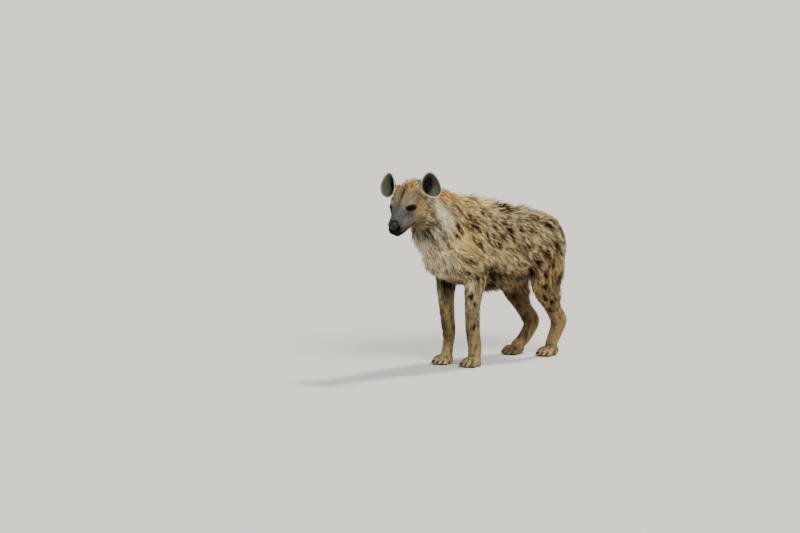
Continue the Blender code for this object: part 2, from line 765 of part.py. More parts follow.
def lock(tree, root, lie, length, width, lift):
    """A flat tapered lock. It leaves the surface from a sunk root, follows it, and lifts away at its tip.
    Where the surface would twist it too much, there is none."""
    rings = []
    before = None
    place = Vector(root)
    reached = 0.0
    for share, wide, edge, ridge in LOCK_PROFILE:
        place, normal = nearest_skin(tree, place + lie * length * (share - reached), width * 0.7)
        lie = (lie - normal * lie.dot(normal)).normalized()
        across = normal.cross(lie)
        if before and across.angle(before) > LOCK_TWIST:
            return None
        before = across
        side = across * width * wide / 2
        low = place + normal * edge * lift
        rings.append([low + side, place + normal * ridge * lift, low - side])
        reached = share
    below, normal = nearest_skin(tree, place + lie * length * (1.0 - reached), width * 0.7)
    return loft(rings, tip=below + normal * lift)


def apart(planes, points, margin=0.001):
    """Whether one of the planes of a convex space keeps all the points out of it."""
    for point, normal in planes:
        normal = Vector(normal).normalized()
        if all((p - point).dot(normal) > margin for p in points):
            return True
    return False


def place_lock(tree, others, root, lie, length, width, lift):
    """A lock that stays clear of the neighbours' space, made shorter where it has to be."""
    for share in (1.0, 0.8, 0.62, 0.48):
        made = lock(tree, root, lie, length * share, width, lift * share)
        points = [v.co for v in made.vertices] if made else []
        if made and all(apart(planes, points) for planes in others):
            return [made]
    return []


def path_point(rows, share):
    """Centre and direction of a loft's path at a share of its length."""
    centres = smooth_rows(rows, 4)[:, :3]
    reached = np.concatenate([[0.0], np.cumsum(np.linalg.norm(np.diff(centres, axis=0), axis=1))])
    found = []
    for step in (-0.02, 0.0, 0.02):
        spot = share * reached[-1] + step
        found.append(Vector([np.interp(spot, reached, centres[:, i]) for i in range(3)]))
    low, middle, high = found
    return middle, (high - low).normalized()


def coat_tier(tree, others, rng, rows, share, angles, size, lie_down, rise):
    """One ring of locks round a path. Angles are in degrees from the top line, positive to the left."""
    length, width, lift = size
    made = []
    centre, along = path_point(rows, share)
    left = (Vector((0, 1, 0)) - along * along.y).normalized()
    up = along.cross(left)
    for degrees in angles:
        angle = math.radians(degrees + rng.uniform(-2.0, 2.0))
        out = up * math.cos(angle) + left * math.sin(angle)
        down = (left * math.cos(angle) - up * math.sin(angle)) * (1 if degrees > 0 else -1)
        start = centre + along * rng.uniform(-0.007, 0.007) + out * 0.5
        hit, _, _, distance = tree.ray_cast(start, -out)
        if hit is None or distance > 0.48:
            continue
        lean = lie_down * min(1.0, abs(degrees) / 60) * (1.0 if abs(degrees) < 120 else 0.35)
        lie = (down * lean - along + out * rise).normalized()
        long = length * rng.uniform(0.88, 1.12)
        high = lift * rng.uniform(0.85, 1.15)
        made += place_lock(tree, others, hit, lie, long, width, high)
    return made


def both_sides(angles):
    return [a for a in angles] + [-a for a in angles]


def torso_coat(tree, others, rng):
    """Mane down the back, and tiers of locks over shoulders, flanks, belly and haunches."""
    made = []
    for i in range(TORSO_TIERS):
        share = 0.06 + 0.88 * i / (TORSO_TIERS - 1)
        angles = both_sides((52, 84, 116, 156) if i % 2 else (37, 68, 100, 134))
        made += coat_tier(tree, others, rng, TRUNK, share, angles, FLANK_LOCK, 0.75, 0.0)
    for i in range(MANE_TIERS):
        along = i / (MANE_TIERS - 1)
        grow = 0.6 + 0.4 * along
        size = (MANE_LOCK[0] * grow, MANE_LOCK[1], MANE_LOCK[2] * grow)
        angles = (-12, 12) if i % 2 else (-24, 0.1, 24)
        made += coat_tier(tree, others, rng, TRUNK, 0.12 + 0.72 * along, angles, size, 0.5, 0.25)
    return made


def neck_coat(tree, others, rng):
    """The mane's longest locks on the nape, and the shaggy sides and throat."""
    made = []
    for i in range(4):
        angles = both_sides((36, 68, 100, 132, 166) if i % 2 else (52, 84, 116, 150))
        made += coat_tier(tree, others, rng, NECK, 0.43 + 0.42 * i / 3, angles, NECK_LOCK, 0.55, 0.0)
    for i in range(6):
        angles = (-13, 13) if i % 2 else (-26, 0.1, 26)
        made += coat_tier(tree, others, rng, NECK, 0.38 + 0.50 * i / 5, angles, MANE_LOCK, 0.5, 0.35)
    return made


def hanging_lock(root, out, length, width, lift):
    """A lock that hangs down along the tail, stands off it and turns in to a point."""
    down = Vector((0, 0, -1))
    side = out.cross(down) * width / 2
    rings = []
    for share, wide, height, thick in (
        (0.00, 0.5, -0.9, 0.003),
        (0.35, 1.0, 0.1, 0.006),
        (0.70, 0.7, 0.9, 0.005),
    ):
        centre = Vector(root) + down * length * share + out * lift * height
        rings.append([centre + side * wide, centre + out * thick, centre - side * wide])
    return loft(rings, tip=Vector(root) + down * length + out * lift * 0.3)


def brush_coat(rng):
    """The tail's brush, fullest above its end and running past it."""
    made = []
    length, width, lift = BRUSH_LOCK
    rows = smooth_rows(TAIL, 4)
    picks = rows[int(len(rows) * 0.40) :: 4]
    for i, row in enumerate(picks):
        share = i / (len(picks) - 1)
        for k in range(BRUSH_AROUND):
            angle = 2 * math.pi * (k + 0.5 * (i % 2)) / BRUSH_AROUND + rng.uniform(-0.15, 0.15)
            out = Vector((math.cos(angle), math.sin(angle), 0.0))
            root = Vector(row[:3]) + out * row[3] + Vector((0.0, 0.0, rng.uniform(-0.022, 0.014)))
            long = length * (0.65 + 0.35 * math.sin(math.pi * share)) * rng.uniform(0.9, 1.1)
            made.append(hanging_lock(root, out, long, width, lift))
    return made


def crown_coat(tree, others, rng):
    """The tuft that stands between the ears, in the head's frame."""
    made = []
    length, width, lift = CROWN_LOCK
    for x, y in CROWN_ROOTS:
        hit, _, _, _ = tree.ray_cast(Vector((x, y, 0.4)), Vector((0, 0, -1)))
        lie = Vector((-0.8, 8.0 * y, 0.55))
        made += place_lock(tree, others, hit, lie, length * rng.uniform(0.9, 1.1), width, lift)
    return made


# Assembly


def finish_node(name, mesh, place, colour, roughness=0.85):
    mesh.name = name
    mesh.materials.clear()
    mesh.materials.append(material(colour, roughness))
    obj = mesh_object(name, mesh, place)
    mesh.shade_smooth()
    mesh.set_sharp_from_angle(angle=math.radians(50))
    return obj


def build_trunk(flesh, rng, place):
    """Torso, neck and tail, with their locks."""
    limbs = [limb_regions(side)[name] for side in (1, -1) for name in ("forearm", "thigh")]
    ahead = [other_side(NECK_CUT)]
    others = limbs + [ahead, tail_region()]
    torso = combine(flesh.copy(), [region(planes, GAP) for planes in others], "DIFFERENCE")
    tree = surface(flesh)
    torso = combine(torso, torso_coat(tree, others, rng), "UNION")
    finish_node("torso", torso, place, "coat")

    neck = combine(flesh.copy(), [region([other_side(NECK_CUT), HEAD_CUT])], "INTERSECT")
    neck = combine(neck, neck_coat(tree, [[NECK_CUT], [other_side(HEAD_CUT)]], rng), "UNION")
    finish_node("neck", neck, place, "mane")

    tail = combine(flesh.copy(), [region(tail_region())], "INTERSECT")
    finish_node("tail", combine(tail, brush_coat(rng), "UNION"), place, "dark")


def build_leg(flesh, side, word, place):
    """Forearm, thigh and shank from the body's flesh, and both paws with their claws."""
    regions = limb_regions(side)
    fore, hind = leg_rows(side)
    for name, grow in (("forearm", 0.0), ("thigh", 0.0), ("shank", -GAP)):
        length = combine(flesh.copy(), [region(regions[name], grow)], "INTERSECT")
        finish_node(f"{name}_{word}", length, place, "legs")
    for limb, rows, lean in (("fore", fore[4:], 0.0), ("hind", hind[5:], -0.012)):
        x, y = rows[-1][0] + 0.006, rows[-1][1]
        claws = []
        for number, (across, reach, spread) in enumerate(TOES, 1):
            nail = claw(x, y + across, reach, spread)
            finish_node(f"claw_{limb}_{word}_{number}", nail, place, "claw", 0.4)
            claws.append(claw(x, y + across, reach, spread, GAP))
        paw = combine(paw_flesh(x, y, rows, lean), [region(regions[limb], -GAP)], "INTERSECT")
        finish_node(f"paw_{limb}_{word}", combine(paw, claws, "DIFFERENCE"), place, "legs")


def build_head(rng, place):
    """Head, nose, ears and eyes, modelled in the head's frame."""
    to_world = head_matrix()
    to_head = to_world.inverted()
    flesh = head_flesh()
    back = (to_head @ HEAD_CUT[0], to_head.to_3x3() @ HEAD_CUT[1])
    ears = [[other_side(ear_plane(side))] for side in (1, -1)]
    others = [[back]] + ears + [nose_planes()]
    head = combine(flesh.copy(), [region(planes, GAP) for planes in others], "DIFFERENCE")
    head = combine(head, crown_coat(surface(head), others, rng), "UNION")
    finish_node("head", moved(head, to_world), place, "face")
    nose = combine(flesh.copy(), [region(nose_planes())], "INTERSECT")
    finish_node("nose", moved(nose, to_world), place, "dark", 0.45)
    for side, word in ((1, "left"), (-1, "right")):
        ear = combine(flesh.copy(), [region([other_side(ear_plane(side))])], "INTERSECT")
        finish_node(f"ear_{word}", moved(ear, to_world), place, "ear")
        finish_node(f"eye_{word}", moved(eyeball(side), to_world), place, "eye", 0.1)


def stand_on_origin(place):
    """Move everything so that the middle of its box's underside is the origin."""
    corners = [v.co for obj in place.objects for v in obj.data.vertices]
    low = np.min(corners, axis=0)
    high = np.max(corners, axis=0)
    shift = Matrix.Translation((-(low[0] + high[0]) / 2, -(low[1] + high[1]) / 2, -low[2]))
    for obj in place.objects:
        obj.data.transform(shift)


def build():
    clear_scene()
    hyena = collection("spotted_hyena")
    rng = random.Random(9)
    flesh = body_flesh()
    build_trunk(flesh, rng, hyena)
    for side, word in ((1, "left"), (-1, "right")):
        build_leg(flesh, side, word, hyena)
    build_head(rng, hyena)
    stand_on_origin(hyena)


build()
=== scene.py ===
"""The looks of a standing spotted hyena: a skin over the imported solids, a coat of tufts, eyes, nose, claws.

The shapes repeat the named sizes of the part's source, at a finer grain. All is made in the design frame and
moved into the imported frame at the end, by the place of the left eye.
"""

import json
import math

import bmesh
import bpy
import numpy as np
from mathutils import Matrix, Vector
from mathutils.bvhtree import BVHTree
from mathutils.kdtree import KDTree

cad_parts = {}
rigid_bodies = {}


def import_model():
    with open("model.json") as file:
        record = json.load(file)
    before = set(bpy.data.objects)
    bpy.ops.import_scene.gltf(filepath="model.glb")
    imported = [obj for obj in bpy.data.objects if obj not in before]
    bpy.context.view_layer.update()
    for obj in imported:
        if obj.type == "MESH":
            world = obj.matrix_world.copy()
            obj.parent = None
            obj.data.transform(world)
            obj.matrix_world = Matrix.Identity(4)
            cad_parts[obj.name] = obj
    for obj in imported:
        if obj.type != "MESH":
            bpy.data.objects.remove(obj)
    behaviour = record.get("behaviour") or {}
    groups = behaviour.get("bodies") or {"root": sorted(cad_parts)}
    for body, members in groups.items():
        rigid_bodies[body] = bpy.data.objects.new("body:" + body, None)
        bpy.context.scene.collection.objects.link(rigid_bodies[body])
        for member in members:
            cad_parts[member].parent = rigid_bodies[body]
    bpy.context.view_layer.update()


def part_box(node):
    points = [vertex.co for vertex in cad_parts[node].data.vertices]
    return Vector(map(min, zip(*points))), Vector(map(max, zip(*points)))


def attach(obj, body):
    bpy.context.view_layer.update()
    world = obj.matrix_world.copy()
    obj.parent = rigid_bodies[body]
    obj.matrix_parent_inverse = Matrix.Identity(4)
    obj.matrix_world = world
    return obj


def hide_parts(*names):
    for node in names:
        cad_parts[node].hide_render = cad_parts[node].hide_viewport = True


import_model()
SIDES = ((1, "left"), (-1, "right"))

# Grain of the skin
RING_SIDES = 40
BODY_VOXEL = 0.003
HEAD_VOXEL = 0.0019
BODY_TRIANGLES = 110000
HEAD_TRIANGLES = 80000

# The head's own frame: +X along the muzzle, +Y to its left, +Z up, the origin at the level of the mouth
HEAD_YAW = math.radians(12)
HEAD_PITCH = math.radians(25)
EYE_MIDDLE = Vector((0.742, 0.03, 0.832))
EYE_LEVEL = 0.082
EYE_APART = 0.104
EYE_RADIUS = 0.0125
EYE_FORWARD = 0.002
MUZZLE_END = 0.118
LID_THICKNESS = 0.0024
EAR_HALF_WIDTH = 0.05
EAR_HALF_HEIGHT = 0.062
EAR_DEPTH = 0.032
EAR_WALL = 0.0042
EAR_LEAN = 0.012
LEFT_EAR_RAISE = Vector((-0.01, 0.01, 0.012))
# Each toe: place across the paw, reach forward, spread at its end
TOES = ((-0.029, 0.036, -0.006), (-0.0105, 0.05, -0.002), (0.0105, 0.05, 0.002), (0.029, 0.036, 0.006))
PAW_FORWARD = 0.006
TOE_FORWARD = 0.008

# Rings of the lofts: centre x, y, z, half width, reach up (or forward on a leg), reach down (or back)
TRUNK = (
    (-0.428, 0.0, 0.6, 0.03, 0.022, 0.04),
    (-0.405, 0.0, 0.59, 0.066, 0.058, 0.075),
    (-0.37, 0.0, 0.585, 0.092, 0.098, 0.105),
    (-0.3, 0.0, 0.585, 0.108, 0.132, 0.135),
    (-0.2, 0.0, 0.575, 0.12, 0.158, 0.155),
    (-0.1, 0.0, 0.565, 0.134, 0.18, 0.175),
    (0.0, 0.0, 0.56, 0.142, 0.197, 0.185),
    (0.1, 0.0, 0.565, 0.14, 0.211, 0.185),
    (0.2, 0.0, 0.58, 0.13, 0.222, 0.183),
    (0.28, 0.0, 0.59, 0.121, 0.22, 0.182),
    (0.35, 0.0, 0.59, 0.114, 0.19, 0.168),
    (0.42, 0.0, 0.582, 0.094, 0.14, 0.13),
    (0.462, 0.0, 0.575, 0.056, 0.08, 0.074),
)
NECK = (
    (0.19, 0.0, 0.64, 0.1, 0.14, 0.14),
    (0.29, 0.0, 0.67, 0.112, 0.165, 0.165),
    (0.38, 0.002, 0.712, 0.106, 0.15, 0.172),
    (0.46, 0.006, 0.758, 0.096, 0.13, 0.152),
    (0.54, 0.012, 0.803, 0.087, 0.108, 0.126),
    (0.61, 0.018, 0.838, 0.078, 0.088, 0.102),
    (0.67, 0.024, 0.855, 0.06, 0.06, 0.07),
)
FORELEG = (
    (0.3, 0.07, 0.64, 0.038, 0.075, 0.085),
    (0.29, 0.082, 0.56, 0.047, 0.078, 0.085),
    (0.274, 0.092, 0.485, 0.047, 0.076, 0.073),
    (0.27, 0.096, 0.425, 0.043, 0.063, 0.057),
    (0.282, 0.095, 0.36, 0.039, 0.047, 0.042),
    (0.286, 0.091, 0.28, 0.034, 0.038, 0.037),
    (0.282, 0.088, 0.2, 0.034, 0.038, 0.038),
    (0.275, 0.086, 0.15, 0.032, 0.034, 0.037),
    (0.265, 0.086, 0.09, 0.032, 0.032, 0.035),
    (0.268, 0.087, 0.045, 0.033, 0.03, 0.03),
)
FORELEG_RIGHT = (
    (0.3, -0.07, 0.64, 0.038, 0.075, 0.085),
    (0.29, -0.082, 0.56, 0.047, 0.078, 0.085),
    (0.272, -0.092, 0.485, 0.047, 0.076, 0.075),
    (0.267, -0.096, 0.425, 0.043, 0.062, 0.06),
    (0.275, -0.095, 0.36, 0.038, 0.047, 0.045),
    (0.274, -0.091, 0.28, 0.034, 0.037, 0.037),
    (0.268, -0.088, 0.2, 0.033, 0.035, 0.036),
    (0.263, -0.086, 0.15, 0.029, 0.031, 0.033),
    (0.27, -0.085, 0.095, 0.027, 0.026, 0.027),
    (0.283, -0.085, 0.045, 0.03, 0.027, 0.026),
)
HINDLEG = (
    (-0.27, 0.058, 0.64, 0.045, 0.09, 0.105),
    (-0.272, 0.08, 0.56, 0.055, 0.115, 0.118),
    (-0.262, 0.092, 0.48, 0.056, 0.112, 0.112),
    (-0.248, 0.1, 0.405, 0.051, 0.096, 0.096),
    (-0.244, 0.104, 0.345, 0.045, 0.074, 0.082),
    (-0.285, 0.1, 0.275, 0.038, 0.049, 0.054),
    (-0.332, 0.093, 0.218, 0.031, 0.047, 0.037),
    (-0.368, 0.088, 0.172, 0.031, 0.058, 0.04),
    (-0.356, 0.085, 0.125, 0.029, 0.046, 0.03),
    (-0.325, 0.084, 0.075, 0.03, 0.035, 0.027),
    (-0.306, 0.084, 0.042, 0.031, 0.028, 0.026),
)
# What the right hind leg's rings differ by from the left one's: further forward, and lower
HIND_STEP = (0.006, 0.012, 0.012, 0.008, 0.0, 0.002, 0.006, 0.006, 0.016, 0.036, 0.07)
HIND_DROP = (0.0, 0.0, 0.0, 0.0, 0.005, 0.01, 0.014, 0.016, 0.014, 0.01, 0.004)
TAIL = (
    (-0.395, 0.0, 0.625, 0.034, 0.036, 0.034),
    (-0.43, -0.002, 0.608, 0.028, 0.03, 0.028),
    (-0.456, -0.008, 0.57, 0.022, 0.022, 0.022),
    (-0.464, -0.017, 0.515, 0.019, 0.019, 0.019),
    (-0.463, -0.026, 0.455, 0.02, 0.02, 0.02),
    (-0.459, -0.034, 0.4, 0.018, 0.018, 0.018),
    (-0.455, -0.04, 0.35, 0.011, 0.011, 0.011),
)
# Head rings: forward place, level of the widest part, half width, crown above it, throat below it, fullness
HEAD = (
    (-0.175, 0.05, 0.062, 0.072, 0.075, 2.0),
    (-0.145, 0.05, 0.08, 0.096, 0.096, 2.1),
    (-0.11, 0.046, 0.09, 0.104, 0.098, 2.1),
    (-0.075, 0.04, 0.095, 0.104, 0.09, 2.1),
    (-0.04, 0.036, 0.09, 0.098, 0.08, 2.2),
    (-0.01, 0.034, 0.076, 0.087, 0.074, 2.2),
    (0.015, 0.03, 0.058, 0.073, 0.067, 2.3),
    (0.04, 0.024, 0.046, 0.061, 0.058, 2.5),
    (0.065, 0.02, 0.041, 0.053, 0.051, 2.6),
    (0.09, 0.018, 0.038, 0.049, 0.044, 2.6),
    (0.108, 0.02, 0.034, 0.042, 0.032, 2.5),
    (0.118, 0.026, 0.024, 0.028, 0.02, 2.2),
)
# The mouth's line: forward place and level
MOUTH = ((0.0, -0.012), (0.022, -0.005), (0.045, -0.002), (0.07, -0.004), (0.092, -0.003), (0.108, 0.0))


def srgb(red, green, blue):
    """Linear colour of three 8-bit values."""
    values = np.array([red, green, blue]) / 255
    return np.where(values <= 0.04045, values / 12.92, ((values + 0.055) / 1.055) ** 2.4)


def smooth_step(value, low, high):
    t = np.clip((value - low) / (high - low), 0, 1)
    return t * t * (3 - 2 * t)


def unit(vectors):
    return vectors / (np.linalg.norm(vectors, axis=-1, keepdims=True) + 1e-12)


def dot(a, b):
    return (a * b).sum(-1, keepdims=True)


def along_skin(vectors, normals):
    """The part of each vector that is square to its normal."""
    return vectors - normals * dot(vectors, normals)


def square_to(vector, axis):
    """The vector's direction, square to a unit axis."""
    return (vector - axis * vector.dot(axis)).normalized()


def angles(count):
    return [2 * math.pi * k / count for k in range(count)]


def wobble(points, size, seed, waves=7):
    """Smooth noise from -1 to 1 at these points, with features of about this size."""
    rng = np.random.default_rng(seed)
    total = np.zeros(len(points))
    for _ in range(waves):
        direction = unit(rng.normal(size=3)) * 2 * math.pi / (size * rng.uniform(1.2, 3.2))
        total += np.sin(points @ direction + rng.uniform(0, 2 * math.pi))
    return total / math.sqrt(waves * 1.2)


# Shapes


def head_matrix():
    turn = Matrix.Rotation(HEAD_YAW, 4, "Z") @ Matrix.Rotation(HEAD_PITCH, 4, "Y")
    up = turn @ Vector((0, 0, 1))
    return Matrix.Translation(EYE_MIDDLE - up * EYE_LEVEL) @ turn


def eye_centre(side):
    return Vector((EYE_FORWARD, side * EYE_APART / 2, EYE_LEVEL))


TO_WORLD = head_matrix()
TO_HEAD = TO_WORLD.inverted()


def packed_shift():
    """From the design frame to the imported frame."""
    low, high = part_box("eye_left")
    return (Vector(low) + Vector(high)) / 2 - TO_WORLD @ eye_centre(1)


SHIFT = packed_shift()


def smooth_rows(rows, steps):
    """Rows between the given ones, on a Catmull-Rom curve through them."""
    rows = np.array(rows, float)
    padded = np.vstack([2 * rows[0] - rows[1], rows, 2 * rows[-1] - rows[-2]])
    made = []
    for i in range(len(rows) - 1):
        a, b, c, d = padded[i : i + 4]
        for s in range(steps):
            t = s / steps
            bend = (2 * a - 5 * b + 4 * c - d) * t**2 + (3 * b - a - 3 * c + d) * t**3
            made.append(0.5 * (2 * b + (c - a) * t + bend))
    made.append(rows[-1])
    return np.array(made)


def rings_of(rows, steps=5, fullness=2.15):
    """Points of each ring of a loft. A ring stands square to the path, with its side towards +Y."""
    rows = smooth_rows(rows, steps)
    centres = rows[:, :3]
    along = np.gradient(centres, axis=0)
    rings = []
    for row, centre, t in zip(rows, centres, along):
        t = Vector(t).normalized()
        side = (Vector((0, 1, 0)) - t * t.y).normalized()
        up = t.cross(side)
        power = 2 / (row[6] if len(row) > 6 else fullness)
        ring = []
        for angle in angles(RING_SIDES):
            c, s = math.cos(angle), math.sin(angle)
            across = math.copysign(abs(c) ** power, c) * row[3]
            height = math.copysign(abs(s) ** power, s) * (row[4] if s > 0 else row[5])
            ring.append(Vector(centre) + side * across + up * height)
        rings.append(ring)
    return rings


def gathered(items, key, width=3, kind=np.float32):
    """One value of all the items, as an array with this many columns."""
    values = np.empty(len(items) * width, kind)
    items.foreach_get(key, values)
    return values.reshape(-1, width)


def coords(mesh):
    return gathered(mesh.vertices, "co").astype(float)


def vertex_normals(mesh):
    return gathered(mesh.vertex_normals, "vector").astype(float)


def triangles_of(mesh):
    mesh.calc_loop_triangles()
    return gathered(mesh.loop_triangles, "vertices", kind=np.int32)


def flat(values, kind=np.float32):
    """An array as a mesh's data takes it."""
    return values.astype(kind).ravel()


def set_coords(mesh, points):
    mesh.vertices.foreach_set("co", flat(points))
    mesh.update()


def mesh_of(bm, name):
    mesh = bpy.data.meshes.new(name)
    bm.to_mesh(mesh)
    bm.free()
    return mesh


def outward(mesh):
    """The same closed mesh with its faces turned out."""
    a, b, c = coords(mesh)[triangles_of(mesh)].transpose(1, 0, 2)
    if (np.cross(a, b) * c).sum() < 0:
        mesh.flip_normals()
    return mesh


def loft(rings):
    """A closed mesh through the rings."""
    count = len(rings[0])
    points = [tuple(p) for ring in rings for p in ring]
    faces = [tuple(reversed(range(count)))]
    for i in range(len(rings) - 1):
        for k in range(count):
            j = (k + 1) % count
            faces.append((i * count + k, i * count + j, (i + 1) * count + j, (i + 1) * count + k))
    last = (len(rings) - 1) * count
    faces.append(tuple(range(last, last + count)))
    mesh = bpy.data.meshes.new("loft")
    mesh.from_pydata(points, [], faces)
    return outward(mesh)


def ellipsoid(centre, radii, turn=None, sides=28):
    bm = bmesh.new()
    bmesh.ops.create_uvsphere(bm, u_segments=sides, v_segments=sides // 2, radius=1.0)
    place = Matrix.Translation(Vector(centre)) @ (turn or Matrix()) @ Matrix.Diagonal((*radii, 1.0))
    bmesh.ops.transform(bm, matrix=place, verts=bm.verts)
    return mesh_of(bm, "ellipsoid")


def spindle(points, radii, sides=14):
    """A round rod of changing radius along points."""
    centres = np.array([tuple(p) for p in points], float)
    along = np.gradient(centres, axis=0)
    rings = []
    for centre, radius, t in zip(centres, radii, along):
        t = Vector(t).normalized()
        helper = Vector((0, 0, 1)) if abs(t.z) < 0.9 else Vector((1, 0, 0))
        side = helper.cross(t).normalized()
        up = t.cross(side)
        turns = [side * math.cos(angle) + up * math.sin(angle) for angle in angles(sides)]
        rings.append([Vector(centre) + turn * radius for turn in turns])
    return loft(rings)


def moved(mesh, matrix):
    mesh.transform(matrix)
    return mesh


def placed(data, name="scratch"):
    """An object of the scene with this mesh, light or camera."""
    obj = bpy.data.objects.new(name, data)
    bpy.context.scene.collection.objects.link(obj)
    return obj


def evaluated(obj):
    """A copy of the object's mesh with its modifiers applied, and the object removed."""
    graph = bpy.context.evaluated_depsgraph_get()
    made = bpy.data.meshes.new_from_object(obj.evaluated_get(graph))
    bpy.data.objects.remove(obj, do_unlink=True)
    return made


def joined(meshes):
    bm = bmesh.new()
    for mesh in meshes:
        bm.from_mesh(mesh)
    return mesh_of(bm, "joined")


def blend(meshes, voxel, passes):
    """One smooth closed skin round overlapping shapes."""
    obj = placed(joined(meshes))
    remesh = obj.modifiers.new("skin", "REMESH")
    remesh.mode = "VOXEL"
    remesh.voxel_size = voxel
    relax = obj.modifiers.new("relax", "SMOOTH")
    relax.factor = 0.5
    relax.iterations = passes
    return evaluated(obj)


def collapse(mesh, triangles):
    obj = placed(mesh)
    modifier = obj.modifiers.new("collapse", "DECIMATE")
    modifier.ratio = min(1.0, triangles / len(mesh.polygons))
    return evaluated(obj)


def combine(mesh, others, operation):
    """Booleans of a closed mesh with others, one after another."""
    obj = placed(mesh)
    helpers = [placed(other, "helper") for other in others]
    for helper in helpers:
        modifier = obj.modifiers.new("boolean", "BOOLEAN")
        modifier.operation = operation
        modifier.object = helper
        modifier.solver = "MANIFOLD"
    made = evaluated(obj)
    for helper in helpers:
        bpy.data.objects.remove(helper, do_unlink=True)
    return made


# Flesh, as in the part's source


def shoulder_muscles(side):
    tilt = Matrix.Rotation(math.radians(-14), 4, "Y")
    return [
        ellipsoid((0.265, 0.082 * side, 0.635), (0.085, 0.056, 0.15), tilt),
        ellipsoid((0.35, 0.068 * side, 0.535), (0.076, 0.06, 0.095)),
        ellipsoid((0.225, 0.09 * side, 0.52), (0.06, 0.05, 0.085)),
    ]


def haunch_muscles(side):
    return [
        ellipsoid((-0.275, 0.078 * side, 0.6), (0.105, 0.056, 0.105)),
        ellipsoid((-0.34, 0.066 * side, 0.545), (0.072, 0.06, 0.12)),
    ]


def hock_point(rows):
    """The heel tendon from the calf to the hock's point."""
    hock, calf = rows[7], rows[5]
    steps = ((calf, -0.038, 0.04), (calf, -0.06, -0.026))
    steps += ((hock, -0.022, 0.032), (hock, -0.036, 0.004), (hock, -0.02, -0.028))
    points = [(row[0] + forward, row[1], row[2] + rise) for row, forward, rise in steps]
    return spindle(points, (0.014, 0.012, 0.0125, 0.015, 0.012))


def leg_rows(side):
    """The rings of the fore and hind leg of a side."""
    if side > 0:
        return FORELEG, HINDLEG
    steps = zip(HINDLEG, HIND_STEP, HIND_DROP)
    return FORELEG_RIGHT, [(x + step, -y, z - drop, *sizes) for (x, y, z, *sizes), step, drop in steps]


def toe(x, y, reach, spread):
    x += TOE_FORWARD
    knuckle = (x, y, 0.034)
    middle = (x + reach * 0.62, y + spread * 0.6, 0.0275)
    end = (x + reach, y + spread, 0.015)
    return [
        spindle((knuckle, middle, end), (0.015, 0.015, 0.0135)),
        ellipsoid((end[0] - 0.003, end[1], 0.0115), (0.0185, 0.012, 0.0135)),
    ]


def paw_pieces(rows, lean):
    x, y = rows[-1][0] + PAW_FORWARD, rows[-1][1]
    pieces = [
        ellipsoid((x + lean, y, 0.028), (0.042, 0.036, 0.029)),
        ellipsoid((x - 0.004, y, 0.012), (0.04, 0.035, 0.013)),
    ]
    for across, reach, spread in TOES:
        pieces += toe(x, y + across, reach, spread)
    return pieces


def leg_bones(side):
    """Small forms that show through a leg's short coat: wrist, the pad behind it, elbow and hock."""
    fore, hind = leg_rows(side)
    wrist, elbow = fore[7], fore[3]
    pieces = [
        ellipsoid((wrist[0] + 0.016, wrist[1], wrist[2]), (0.021, 0.026, 0.026)),
        ellipsoid((wrist[0] - 0.027, wrist[1], wrist[2]), (0.013, 0.012, 0.016)),
        ellipsoid((elbow[0] - 0.058, elbow[1], elbow[2] + 0.015), (0.02, 0.016, 0.03)),
    ]
    hock = hind[7]
    for across in (-0.02, 0.02):
        pieces.append(ellipsoid((hock[0] + 0.006, hock[1] + across, hock[2] - 0.004), (0.016, 0.013, 0.018)))
    return pieces


def body_flesh():
    pieces = [loft(rings_of(TRUNK)), loft(rings_of(NECK)), loft(rings_of(TAIL, fullness=2.0))]
    for side in (1, -1):
        fore, hind = leg_rows(side)
        pieces += [loft(rings_of(fore)), loft(rings_of(hind)), hock_point(hind)]
        pieces += shoulder_muscles(side) + haunch_muscles(side) + leg_bones(side)
        pieces += paw_pieces(fore, 0.0) + paw_pieces(hind, -0.012)
    return collapse(blend(pieces, BODY_VOXEL, 14), BODY_TRIANGLES)


def mouth_side(x, level):
    """Half width of the muzzle at this forward place and level."""
    rows = smooth_rows(HEAD, 4)
    row = [np.interp(x, rows[:, 0], rows[:, i]) for i in range(6)]
    rise = row[3] if level > row[1] else row[4]
    share = min(1.0, abs(level - row[1]) / rise)
    return row[2] * (1 - share ** row[5]) ** (1 / row[5])


def lip_line(offset, inset):
    """The mouth's line round the muzzle, this far above it and in from the skin."""
    line = smooth_rows(MOUTH, 6)
    left = [(x, max(0.01, mouth_side(x, z + offset) - inset), z + offset) for x, z in line]
    tip = (MUZZLE_END - 0.004 - inset, 0.0, line[-1][1] + offset)
    return left + [tip] + [(x, -y, z) for x, y, z in reversed(left)]


def lip_rod(offset, inset, radius, sides=12):
    points = lip_line(offset, inset)
    return spindle(points, [radius] * len(points), sides)


def ear_frame(side):
    """The ear's own frame: +Z along the ear, +X out of its open face, +Y across it."""
    long = Vector((-0.4, 0.1 * side, 0.91)).normalized()
    face = square_to(Vector((0.9, 0.28 * side, 0.36)), long)
    across = long.cross(face)
    turn = Matrix((face, across, long)).transposed().to_4x4()
    middle = Vector((-0.0945, 0.112, 0.1407))
    if side > 0:
        middle += LEFT_EAR_RAISE
    return Matrix.Translation((middle.x, middle.y * side, middle.z)) @ turn


